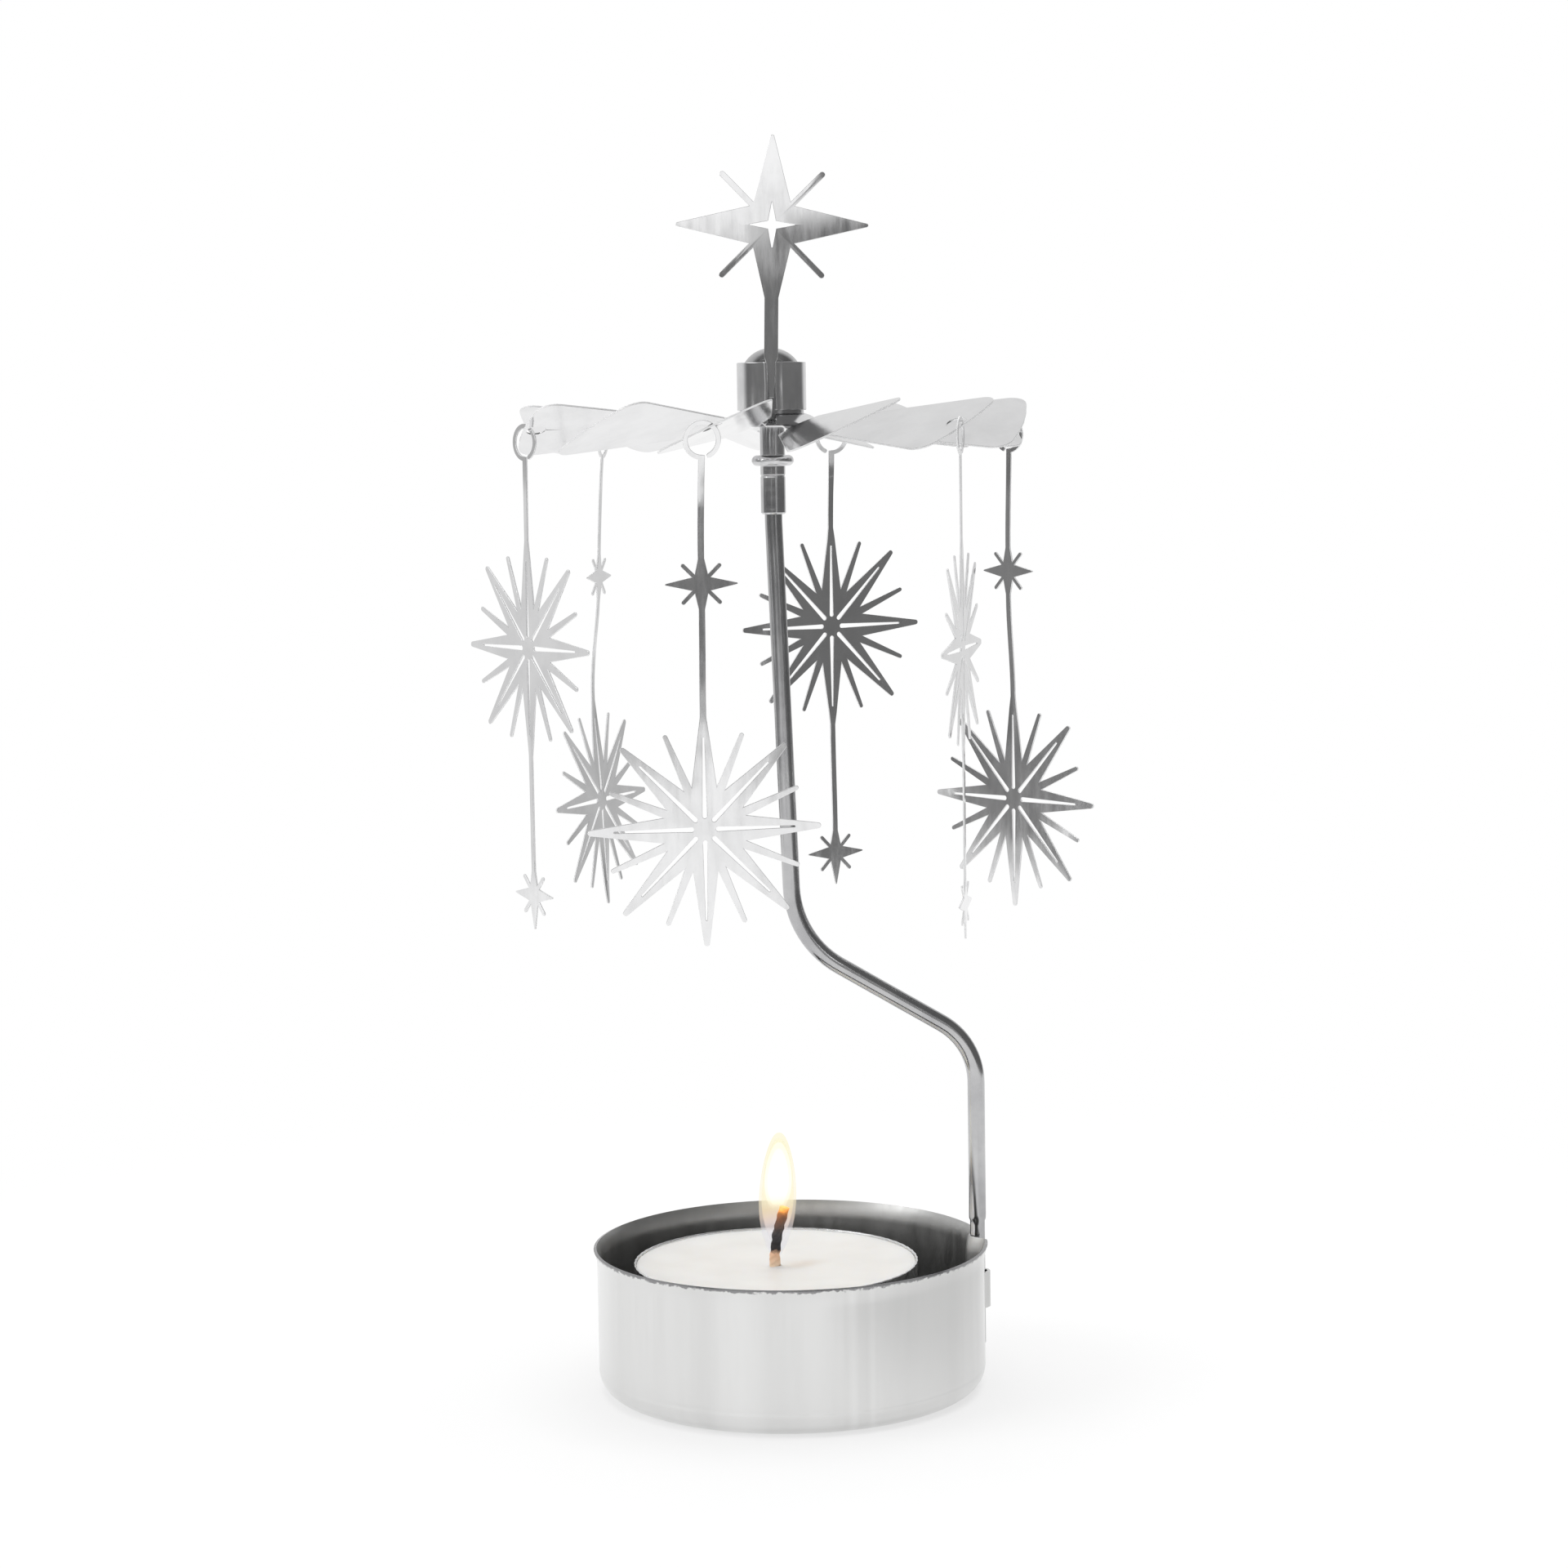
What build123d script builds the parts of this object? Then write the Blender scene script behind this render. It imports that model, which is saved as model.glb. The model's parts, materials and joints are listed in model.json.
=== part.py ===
from build123d import *
import os
from math import atan2, cos, degrees, hypot, radians, sin, tan

# Heat-driven star carousel for one tealight: a pan carries a bent wire, the wire carries a needle,
# and a twelve-bladed wheel with six hanging star strips turns on the needle.
# Millimetres, +Z up, origin at the centre of the face that the pan rests on, -Y towards the viewer.

# Candle pan
pan_wall_diameter = 51.7
pan_height = 19.2
pan_sheet = 0.4
pan_corner_radius = 3.0
rim_flare = 0.45
rim_flare_height = 2.4

# Socket in the pan wall that holds the wire: a dent in the wall with a strap across it
leg_bearing = 6.8
leg_inset = 0.5
socket_floor_height = 4.5
strap_height = 9.6
strap_width = 4.8
strap_slit = 0.3
leg_fit = 0.05

# Stem wire
wire_diameter = 2.3
lower_bend_radius = 9.5
upper_bend_radius = 13.0
pivot_bend_radius = 12.0
upper_bend_height = 60.1
upper_bend_reach = 1.8
lower_bend_height = 45.5
lean_start_drop = 1.0

# Turning axis and wheel
axis_x = -0.7
wheel_height = 127.7
wheel_sheet = 0.4
blade_count = 12
blade_pitch = 22.5
wheel_radius = 33.2
blade_corner_radius = 2.4
blade_slit = 0.4
disc_radius = 8.2
neck_length = 2.4
neck_width = 2.4
neck_creases = 3
boss_rise = 1.6
first_blade_angle = 46.8

# Hub on the wheel
cap_diameter = 8.3
cap_top_rise = 10.3
cap_sheet = 0.4
cap_tail = 0.7
sleeve_sheet = 0.35
sleeve_foot_rise = 2.2
sleeve_length = 6.2

# Pivot on the wire
ferrule_diameter = 3.25
ferrule_drop = 11.3
ferrule_length = 12.5
ferrule_socket_depth = 5.0
ferrule_bead_diameter = 5.5
ferrule_bead_thickness = 1.4
ferrule_bead_drop = 4.3
ferrule_bead_round_share = 0.45
ferrule_foot_chamfer_share = 0.06
ferrule_top_chamfer_share = 0.12
ferrule_groove_drop = 6.3
ferrule_groove_width = 0.3
ferrule_groove_depth = 0.1
needle_diameter = 1.2
needle_point_length = 2.5
needle_gap = 0.05

# Star on top
topper_sheet = 0.4
topper_star_rise = 17.5
topper_lean = 1.3
topper_ray = 12.4
topper_top_ray = 11.5
topper_ray_tip_width = 0.5
topper_valley = 2.49
topper_bar_reach = 9.45
topper_bar_width = 0.76
topper_window_ray = 2.9
topper_window_valley = 0.5
topper_window_tip_width = 0.1
topper_strip_width = 1.8
topper_strip_top_drop = 8.4
tang_width = 1.0
tang_end_width = 0.6
tang_length = 4.6
tang_fit = 0.04

# Hanging star strips
hanger_sheet = 0.4
hanger_strip_width = 0.8
hook_inner_diameter = 3.6
hook_wire_width = 0.6
hook_yaw = 30.0
hook_hole_diameter = 2.6
hook_margin = 0.4
hook_seat_depth = 1.0
hook_hole_offset = 1.3
hook_end_angle = -62.0
twist_start_drop = 3.4
twist_length = 5.0
big_star_ray = 14.5
big_star_ray_tip_width = 0.72
big_star_ray_root_width = 4.54
big_star_short_ray = 12.7
big_star_short_tip_width = 0.6
big_star_short_root_width = 1.35
big_star_ray_count = 8
slot_start = 1.35
slot_end = 11.3
slot_root_width = 0.58
slot_end_width = 0.22
small_star_ray = 4.5
small_star_tip_width = 0.24
small_star_valley = 0.9
small_star_heart_diameter = 2.6
small_star_bar_reach = 3.45
small_star_bar_width = 0.54
hanger_upper_drops = [26.4, 18.1, 26.4, 18.6, 26.4, 17.5]
hanger_lower_drops = [58.4, 48.7, 58.4, 49.5, 58.4, 47.6]
hanger_star_yaws = [30.8, 25.5, 44.5, 21.4, 18.6, 23.2]

# Tealight
candle_x = -2.0
candle_y = 1.0
cup_diameter = 38.0
cup_height = 16.4
cup_taper = 0.5
cup_sheet = 0.3
cup_rim_bead = 0.5
wax_depth = 15.5
wax_hollow = 0.7
wax_hollow_middle_share = 0.75
wick_diameter = 1.4
wick_stand = 7.2
wick_lean = 9.0
wick_bend_radius = 14.0
clip_diameter = 12.0
clip_sheet = 0.4
clip_collar_height = 2.2

# Places worked out from the driving sizes
pan_wall_radius = pan_wall_diameter / 2
wire_radius = wire_diameter / 2
leg_radius = pan_wall_radius - leg_inset
leg_x = leg_radius * cos(radians(leg_bearing))
leg_y = leg_radius * sin(radians(leg_bearing))
leg_reach = hypot(leg_x - axis_x, leg_y)
ferrule_foot = wheel_height - ferrule_drop
cap_radius = cap_diameter / 2
cap_top = wheel_height + cap_top_rise
sleeve_foot = wheel_height + sleeve_foot_rise
sleeve_top = sleeve_foot + sleeve_length
sleeve_radius = cap_radius + sleeve_sheet
axis_plane = Plane(origin=(axis_x, 0, 0))
axis_section = Plane(origin=(axis_x, 0, 0), x_dir=(1, 0, 0), z_dir=(0, -1, 0))
axis_line = Axis((axis_x, 0, 0), (0, 0, 1))
candle_section = Plane(origin=(candle_x, candle_y, 0), x_dir=(1, 0, 0), z_dir=(0, -1, 0))
candle_line = Axis((candle_x, candle_y, 0), (0, 0, 1))

os.makedirs("parts", exist_ok=True)

# Candle pan: a drawn cup with a flared rim, dented where the wire stands
socket_bore = wire_radius + leg_fit
socket_outer = socket_bore + pan_sheet
socket_span = 2 * socket_outer
socket_length = pan_height - socket_floor_height
leg_plane = Plane(
    origin=(leg_x, leg_y, 0),
    x_dir=(cos(radians(leg_bearing)), sin(radians(leg_bearing)), 0),
    z_dir=(0, 0, 1),
)
wall_line = leg_inset - leg_fit
pan_inner_radius = pan_wall_radius - pan_sheet
corner_centre = pan_wall_radius - pan_corner_radius
flare_foot = pan_height - rim_flare_height
rim_radius = pan_wall_radius + rim_flare
rim_inner_radius = rim_radius - pan_sheet

with BuildPart() as pan:
    with BuildSketch(Plane.XZ) as pan_half:
        with BuildLine() as pan_outline:
            Polyline((0, pan_sheet), (0, 0), (corner_centre, 0))
            CenterArc((corner_centre, pan_corner_radius), pan_corner_radius, -90, 90)
            Line((pan_wall_radius, pan_corner_radius), (pan_wall_radius, flare_foot))
            TangentArc((pan_wall_radius, flare_foot), (rim_radius, pan_height), tangent=(0, 1))
            Line((rim_radius, pan_height), (rim_inner_radius, pan_height))
            TangentArc((pan_inner_radius, flare_foot), (rim_inner_radius, pan_height), tangent=(0, 1))
            Line((pan_inner_radius, flare_foot), (pan_inner_radius, pan_corner_radius))
            CenterArc((corner_centre, pan_corner_radius), pan_corner_radius - pan_sheet, -90, 90)
            Line((corner_centre, pan_sheet), (0, pan_sheet))
        make_face()
    revolve(axis=Axis.Z)
    with BuildSketch(leg_plane.offset(socket_floor_height - pan_sheet)) as wall_gap:
        Rectangle(socket_span, 2 * socket_bore)
    extrude(amount=pan_height, mode=Mode.SUBTRACT)
    with BuildSketch(leg_plane.offset(socket_floor_height)) as dent:
        Circle(socket_outer)
        Circle(socket_bore, mode=Mode.SUBTRACT)
        with Locations((wall_line, 0)):
            Rectangle(socket_span, 2 * socket_span, align=(Align.MIN, Align.CENTER), mode=Mode.SUBTRACT)
    extrude(amount=socket_length)
    with BuildSketch(leg_plane.offset(socket_floor_height - pan_sheet)) as dent_floor:
        Circle(socket_outer)
        with Locations((leg_inset, 0)):
            Rectangle(socket_span, 2 * socket_span, align=(Align.MIN, Align.CENTER), mode=Mode.SUBTRACT)
    extrude(amount=pan_sheet)
    with BuildSketch(leg_plane.offset(strap_height - strap_slit)) as strap_window:
        with Locations((wall_line - pan_sheet, 0)):
            Rectangle(socket_span, 2 * socket_bore, align=(Align.MAX, Align.CENTER))
    extrude(amount=strap_width + 2 * strap_slit, mode=Mode.SUBTRACT)
    with BuildSketch(leg_plane.offset(strap_height)) as strap:
        Circle(socket_outer)
        Circle(socket_bore, mode=Mode.SUBTRACT)
        with Locations((wall_line - pan_sheet, 0)):
            Rectangle(socket_span, 2 * socket_span, align=(Align.MAX, Align.CENTER), mode=Mode.SUBTRACT)
    extrude(amount=strap_width)
pan.part.label = "pan"
export_step(pan.part, "parts/pan.step")

# Stem wire: one bent rod, upright in the pan's socket, slanting over the candle, then up to the pivot
stem_plane = Plane(
    origin=(axis_x, 0, 0),
    x_dir=(leg_x - axis_x, leg_y, 0),
    z_dir=(leg_y, axis_x - leg_x, 0),
)
stem_top = ferrule_foot + ferrule_socket_depth
with BuildPart() as stem_wire:
    with BuildLine(stem_plane) as stem_route:
        FilletPolyline(
            (leg_reach, socket_floor_height),
            (leg_reach, lower_bend_height),
            (upper_bend_reach, upper_bend_height),
            (0, ferrule_foot - lean_start_drop),
            (0, stem_top),
            radius=(lower_bend_radius, upper_bend_radius, pivot_bend_radius),
        )
    with BuildSketch(Plane(origin=(leg_x, leg_y, socket_floor_height))) as wire_section:
        Circle(wire_radius)
    sweep()
stem_wire.part.label = "stem_wire"
export_step(stem_wire.part, "parts/stem_wire.step")

# Pivot ferrule: a turned tube crimped on the wire, with a round bead near its top
bead_height = wheel_height - ferrule_bead_drop
ferrule_top = ferrule_foot + ferrule_length
ferrule_radius = ferrule_diameter / 2
needle_radius = needle_diameter / 2
with BuildPart() as pivot_ferrule:
    with BuildSketch(Plane(origin=(axis_x, 0, ferrule_foot))) as tube:
        Circle(ferrule_radius)
    extrude(amount=ferrule_length)
    with BuildSketch(Plane(origin=(axis_x, 0, bead_height - ferrule_bead_thickness / 2))) as bead:
        Circle(ferrule_bead_diameter / 2)
    extrude(amount=ferrule_bead_thickness)
    bead_edges = pivot_ferrule.edges().filter_by(GeomType.CIRCLE)
    fillet(bead_edges.group_by(SortBy.RADIUS)[-1], ferrule_bead_thickness * ferrule_bead_round_share)
    chamfer(pivot_ferrule.faces().sort_by(Axis.Z)[0].edges(), ferrule_diameter * ferrule_foot_chamfer_share)
    chamfer(pivot_ferrule.faces().sort_by(Axis.Z)[-1].edges(), ferrule_diameter * ferrule_top_chamfer_share)
    with BuildSketch(axis_section) as groove:
        with Locations((ferrule_radius, wheel_height - ferrule_groove_drop)):
            Rectangle(2 * ferrule_groove_depth, ferrule_groove_width)
    revolve(axis=axis_line, mode=Mode.SUBTRACT)
    with BuildSketch(Plane(origin=(axis_x, 0, ferrule_foot))) as wire_socket:
        Circle(wire_radius)
    extrude(amount=ferrule_socket_depth, mode=Mode.SUBTRACT)
    with BuildSketch(Plane(origin=(axis_x, 0, ferrule_foot))) as needle_bore:
        Circle(needle_radius)
    extrude(amount=ferrule_length, mode=Mode.SUBTRACT)
pivot_ferrule.part.label = "pivot_ferrule"
export_step(pivot_ferrule.part, "parts/pivot_ferrule.step")

# Pivot needle: a steel pin with a cone point that the bearing cap balances on
needle_tip = cap_top - cap_sheet - needle_gap
with BuildPart() as pivot_needle:
    with BuildSketch(axis_section) as needle_half:
        Polygon(
            (0, stem_top),
            (needle_radius, stem_top),
            (needle_radius, needle_tip - needle_point_length),
            (0, needle_tip),
            align=None,
        )
    revolve(axis=axis_line)
pivot_needle.part.label = "pivot_needle"
export_step(pivot_needle.part, "parts/pivot_needle.step")

# Bearing cap: a drawn dome pressed into the boss of the wheel
cap_foot = wheel_height + boss_rise - cap_tail
with BuildPart() as bearing_cap:
    with BuildSketch(axis_section) as cap_half:
        with BuildLine() as cap_outline:
            cap_shoulder = cap_top - cap_radius
            cap_inner = cap_radius - cap_sheet
            Line((cap_radius, cap_foot), (cap_radius, cap_shoulder))
            CenterArc((0, cap_shoulder), cap_radius, 0, 90)
            Line((0, cap_top), (0, cap_top - cap_sheet))
            CenterArc((0, cap_shoulder), cap_inner, 0, 90)
            Line((cap_inner, cap_shoulder), (cap_inner, cap_foot))
            Line((cap_inner, cap_foot), (cap_radius, cap_foot))
        make_face()
    revolve(axis=axis_line)
bearing_cap.part.label = "bearing_cap"
export_step(bearing_cap.part, "parts/bearing_cap.step")

# Hub sleeve: a rolled strip round the cap, open at the front where it pinches the star's tang
with BuildPart() as hub_sleeve:
    with BuildSketch(axis_plane.offset(sleeve_foot)) as sleeve_ring:
        Circle(sleeve_radius)
        Circle(cap_radius, mode=Mode.SUBTRACT)
    extrude(amount=sleeve_length)
    with BuildSketch(axis_section) as sleeve_slit:
        Polygon(
            (-tang_width / 2 - tang_fit, sleeve_top),
            (tang_width / 2 + tang_fit, sleeve_top),
            (tang_end_width / 2 + tang_fit, sleeve_top - tang_length),
            (tang_end_width / 2 + tang_fit, sleeve_foot),
            (-tang_end_width / 2 - tang_fit, sleeve_foot),
            (-tang_end_width / 2 - tang_fit, sleeve_top - tang_length),
            align=None,
        )
    extrude(amount=2 * sleeve_radius, mode=Mode.SUBTRACT)
hub_sleeve.part.label = "hub_sleeve"
export_step(hub_sleeve.part, "parts/hub_sleeve.step")

# Fan wheel: one sheet with a raised boss, twelve necks and twelve blades turned out of its plane
half_step = 180 / blade_count
root_radius = disc_radius + neck_length
hook_hole_radius = hook_hole_diameter / 2
hook_hole_place = wheel_radius - hook_margin - hook_hole_radius
wheel_top = wheel_height + wheel_sheet / 2
wheel_foot = wheel_height - wheel_sheet / 2
corner_angle = half_step - degrees(blade_slit / 2 / wheel_radius)


def radial_vector(angle):
    return Vector(sin(radians(angle)), -cos(radians(angle)), 0)


def tangent_vector(angle):
    return Vector(cos(radians(angle)), sin(radians(angle)), 0)


def pitched_plane(pitch):
    normal = Vector(0, 0, 1) * cos(radians(pitch)) - tangent_vector(0) * sin(radians(pitch))
    return Plane(origin=(axis_x, 0, wheel_height), x_dir=radial_vector(0), z_dir=normal)


def front_blade(hooked):
    neck_start = disc_radius - wheel_sheet
    neck_step = (neck_length + 2 * wheel_sheet) / neck_creases
    root_half = neck_width / 2
    inner_radius = root_radius + neck_length / 2
    inner_half = inner_radius * tan(radians(half_step)) - blade_slit / 2
    tip_x = wheel_radius * cos(radians(corner_angle))
    tip_y = wheel_radius * sin(radians(corner_angle))
    with BuildPart() as blade:
        for crease in range(neck_creases):
            turned = blade_pitch * (crease + 1) / (neck_creases + 1)
            with BuildSketch(pitched_plane(turned)) as neck:
                with Locations((neck_start + crease * neck_step, 0)):
                    Rectangle(neck_step + wheel_sheet, neck_width, align=(Align.MIN, Align.CENTER))
            extrude(amount=wheel_sheet / 2, both=True)
        with BuildSketch(pitched_plane(blade_pitch)) as vane:
            with BuildLine() as vane_outline:
                Polyline(
                    (tip_x, -tip_y),
                    (inner_radius, -inner_half),
                    (root_radius, -root_half),
                    (root_radius, root_half),
                    (inner_radius, inner_half),
                    (tip_x, tip_y),
                )
                ThreePointArc((tip_x, tip_y), (wheel_radius, 0), (tip_x, -tip_y))
            make_face()
            fillet(vane.vertices().sort_by(Axis.X)[-2:], blade_corner_radius)
            if hooked:
                with Locations((hook_hole_place, 0)):
                    Circle(hook_hole_radius, mode=Mode.SUBTRACT)
        extrude(amount=wheel_sheet / 2, both=True)
    return blade.part


hooked_blade = front_blade(True)
plain_blade = front_blade(False)
with BuildPart() as fan_wheel:
    with BuildSketch(axis_section) as disc_half:
        Polygon(
            (cap_radius, wheel_top + boss_rise),
            (disc_radius - 2 * wheel_sheet, wheel_top),
            (disc_radius, wheel_top),
            (disc_radius, wheel_foot),
            (disc_radius - 2 * wheel_sheet, wheel_foot),
            (cap_radius, wheel_foot + boss_rise),
            align=None,
        )
    revolve(axis=axis_line)
    for pair in range(blade_count // 2):
        hooked_angle = first_blade_angle + pair * 4 * half_step
        add(hooked_blade.rotate(axis_line, hooked_angle))
        add(plain_blade.rotate(axis_line, hooked_angle + 2 * half_step))
fan_wheel.part.label = "fan_wheel"
export_step(fan_wheel.part, "parts/fan_wheel.step")

# Star on top: a four-rayed star with four bars and a star-shaped window, on a strip with a tang
topper_plane = Plane(
    origin=(axis_x, -(cap_radius + tang_fit), sleeve_top),
    x_dir=(1, 0, 0),
    z_dir=(0, -1, 0),
)


def pointed_star(rays, valley, tip_width):
    corners = []
    for quarter, ray in enumerate(rays):
        turn = radians(90 * quarter)
        for along, across in ((ray, -tip_width / 2), (ray, tip_width / 2), (valley, valley)):
            corners.append((along * cos(turn) - across * sin(turn), along * sin(turn) + across * cos(turn)))
    return corners


def leaned(across, rise):
    turn = radians(topper_lean)
    return (across * cos(turn) + rise * sin(turn), rise * cos(turn) - across * sin(turn))


topper_rays = (topper_ray, topper_top_ray, topper_ray, topper_ray)
topper_strip_length = topper_star_rise - topper_strip_top_drop
star_place = Location(leaned(0, topper_star_rise), -topper_lean)
with BuildPart() as star_topper:
    with BuildSketch(topper_plane) as topper_face:
        with Locations(star_place):
            Polygon(*pointed_star(topper_rays, topper_valley, topper_ray_tip_width), align=None)
            with Locations(Rotation(0, 0, 45), Rotation(0, 0, 135)):
                SlotOverall(2 * topper_bar_reach, topper_bar_width)
        Polygon(
            (-topper_strip_width / 2, 0),
            (topper_strip_width / 2, 0),
            leaned(topper_strip_width / 2, topper_strip_length),
            leaned(-topper_strip_width / 2, topper_strip_length),
            align=None,
        )
        Polygon(
            (-tang_width / 2, 0),
            (tang_width / 2, 0),
            (tang_end_width / 2, -tang_length),
            (-tang_end_width / 2, -tang_length),
            align=None,
        )
        with Locations(star_place):
            window = pointed_star([topper_window_ray] * 4, topper_window_valley, topper_window_tip_width)
            Polygon(*window, align=None, mode=Mode.SUBTRACT)
    extrude(amount=topper_sheet)
star_topper.part.label = "star_topper"
export_step(star_topper.part, "parts/star_topper.step")


# Hanging star strips: a hook through the hole near a blade's tip, a strip, a big star and a small one
ring_outer = hook_inner_diameter / 2 + hook_wire_width
ring_middle = hook_inner_diameter / 2 + hook_wire_width / 2
hook_slope = atan2(tan(radians(blade_pitch)) * cos(radians(hook_yaw)), 1)
margin_middle = wheel_radius - hook_margin / 2


def facing_plane(angle, yaw, place):
    across = tangent_vector(angle) * cos(radians(yaw)) - radial_vector(angle) * sin(radians(yaw))
    return Plane(origin=place, x_dir=across, z_dir=across.cross(Vector(0, 0, 1)))


def hook_centre(angle):
    across = facing_plane(angle, hook_yaw, (0, 0, 0)).x_dir
    upward = Vector(0, 0, 1)
    pitch = radians(blade_pitch)
    along_blade = tangent_vector(angle) * cos(pitch) + upward * sin(pitch)
    wheel_middle = Vector(axis_x, 0, wheel_height)
    seat = wheel_middle + radial_vector(angle) * margin_middle - along_blade * hook_hole_offset
    return seat + (across * sin(hook_slope) - upward * cos(hook_slope)) * hook_seat_depth


with BuildSketch() as big_star:
    with PolarLocations(0, big_star_ray_count):
        tip_radius = big_star_ray_tip_width / 2
        root_half_width = big_star_ray_root_width / 2
        Polygon(
            (0, -root_half_width),
            (big_star_ray - tip_radius, -tip_radius),
            (big_star_ray - tip_radius, tip_radius),
            (0, root_half_width),
            align=None,
        )
        with Locations((big_star_ray - tip_radius, 0)):
            Circle(tip_radius)
    with PolarLocations(0, big_star_ray_count, start_angle=180 / big_star_ray_count):
        short_tip_radius = big_star_short_tip_width / 2
        short_root_half = big_star_short_root_width / 2
        Polygon(
            (slot_start, -short_root_half),
            (big_star_short_ray - short_tip_radius, -short_tip_radius),
            (big_star_short_ray - short_tip_radius, short_tip_radius),
            (slot_start, short_root_half),
            align=None,
        )
        with Locations((big_star_short_ray - short_tip_radius, 0)):
            Circle(short_tip_radius)

with BuildSketch() as star_slots:
    with PolarLocations(0, big_star_ray_count):
        slot_root = slot_start + slot_root_width / 2
        slot_tip = slot_end - slot_end_width / 2
        Polygon(
            (slot_root, -slot_root_width / 2),
            (slot_tip, -slot_end_width / 2),
            (slot_tip, slot_end_width / 2),
            (slot_root, slot_root_width / 2),
            align=None,
        )
        with Locations((slot_root, 0)):
            Circle(slot_root_width / 2)
        with Locations((slot_tip, 0)):
            Circle(slot_end_width / 2)

with BuildSketch() as small_star:
    Polygon(*pointed_star([small_star_ray] * 4, small_star_valley, small_star_tip_width), align=None)
    Circle(small_star_heart_diameter / 2)
    with Locations(Rotation(0, 0, 45), Rotation(0, 0, 135)):
        SlotOverall(2 * small_star_bar_reach, small_star_bar_width)

for place, star_yaw in enumerate(hanger_star_yaws):
    hanger_angle = first_blade_angle + place * 4 * half_step
    star_drop, spark_drop = hanger_upper_drops[place], hanger_lower_drops[place]
    if place % 2 == 1:
        star_drop, spark_drop = spark_drop, star_drop
    centre = hook_centre(hanger_angle)
    hook_plane = facing_plane(hanger_angle, hook_yaw, centre)
    star_plane = facing_plane(hanger_angle, star_yaw, centre)
    twist_end_drop = twist_start_drop + twist_length
    with BuildPart() as star_hanger:
        with BuildSketch(hook_plane) as hook:
            Circle(ring_outer)
            Circle(hook_inner_diameter / 2, mode=Mode.SUBTRACT)
            hook_end = Vector(cos(radians(hook_end_angle)), sin(radians(hook_end_angle)))
            with BuildLine() as mouth:
                Polyline((0, 0), (0, -3 * ring_outer), hook_end * 3 * ring_outer, close=True)
            make_face(mode=Mode.SUBTRACT)
            with Locations(hook_end * ring_middle):
                Circle(hook_wire_width / 2)
            with Locations((0, -hook_inner_diameter / 2)):
                Rectangle(
                    hanger_strip_width,
                    twist_start_drop - hook_inner_diameter / 2,
                    align=(Align.CENTER, Align.MAX),
                )
        extrude(amount=hanger_sheet / 2, both=True)
        for facing, drop in ((hook_plane, twist_start_drop), (star_plane, twist_end_drop)):
            with BuildSketch(Plane(origin=centre, x_dir=facing.x_dir, z_dir=(0, 0, 1)).offset(-drop)):
                Rectangle(hanger_strip_width, hanger_sheet)
        loft()
        with BuildSketch(star_plane) as stars:
            with Locations((0, -star_drop)):
                add(big_star.sketch)
            with Locations((0, -spark_drop)):
                add(small_star.sketch)
            with Locations((0, -twist_end_drop)):
                strip_length = hanger_lower_drops[place] - twist_end_drop
                Rectangle(hanger_strip_width, strip_length, align=(Align.CENTER, Align.MAX))
            with Locations((0, -star_drop)):
                add(star_slots.sketch, mode=Mode.SUBTRACT)
        extrude(amount=hanger_sheet / 2, both=True)
    star_hanger.part.label = f"star_hanger_{place + 1}"
    export_step(star_hanger.part, f"parts/star_hanger_{place + 1}.step")

# Tealight cup: a thin pressed cup with a rolled edge
cup_foot = pan_sheet
cup_top = cup_foot + cup_height
cup_radius = cup_diameter / 2
cup_foot_radius = cup_radius - cup_taper
with BuildPart() as tealight_cup:
    with BuildSketch(candle_section) as cup_half:
        Polygon(
            (0, cup_foot),
            (cup_foot_radius, cup_foot),
            (cup_radius, cup_top),
            (cup_radius - cup_sheet, cup_top),
            (cup_foot_radius - cup_sheet, cup_foot + cup_sheet),
            (0, cup_foot + cup_sheet),
            align=None,
        )
        with Locations((cup_radius - cup_sheet / 2, cup_top - cup_rim_bead / 2)):
            Circle(cup_rim_bead / 2)
    revolve(axis=candle_line)
tealight_cup.part.label = "tealight_cup"
export_step(tealight_cup.part, "parts/tealight_cup.step")

# Wick clip: a pressed disc with a collar, under the wax
clip_foot = cup_foot + cup_sheet
clip_top = clip_foot + clip_collar_height
wick_radius = wick_diameter / 2
collar_radius = wick_radius + clip_sheet
with BuildPart() as wick_clip:
    with BuildSketch(Plane(origin=(candle_x, candle_y, clip_foot))) as clip_disc:
        Circle(clip_diameter / 2)
    extrude(amount=clip_sheet)
    with BuildSketch(Plane(origin=(candle_x, candle_y, clip_foot))) as clip_collar:
        Circle(collar_radius)
    extrude(amount=clip_collar_height)
    with BuildSketch(Plane(origin=(candle_x, candle_y, clip_foot + clip_sheet))) as clip_bore:
        Circle(wick_radius)
    extrude(amount=clip_collar_height, mode=Mode.SUBTRACT)
wick_clip.part.label = "wick_clip"
export_step(wick_clip.part, "parts/wick_clip.step")

# Wax: fills the cup round the clip and the wick, with a shallow hollow melted in its top
wax_foot = cup_foot + cup_sheet
wax_top = wax_foot + wax_depth
wax_foot_radius = cup_foot_radius - cup_sheet
wax_top_radius = wax_foot_radius + (wax_top - wax_foot) * cup_taper / (cup_height - cup_sheet)
with BuildPart() as tealight_wax:
    with BuildSketch(candle_section) as wax_half:
        with BuildLine() as wax_outline:
            Polyline(
                (wick_radius, wax_top - wax_hollow),
                (wick_radius, clip_top),
                (collar_radius, clip_top),
                (collar_radius, clip_foot + clip_sheet),
                (clip_diameter / 2, clip_foot + clip_sheet),
                (clip_diameter / 2, wax_foot),
                (wax_foot_radius, wax_foot),
                (wax_top_radius, wax_top),
            )
            hollow_middle = (wick_radius + wax_top_radius) / 2
            ThreePointArc(
                (wax_top_radius, wax_top),
                (hollow_middle, wax_top - wax_hollow_middle_share * wax_hollow),
                (wick_radius, wax_top - wax_hollow),
            )
        make_face()
    revolve(axis=candle_line)
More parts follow.
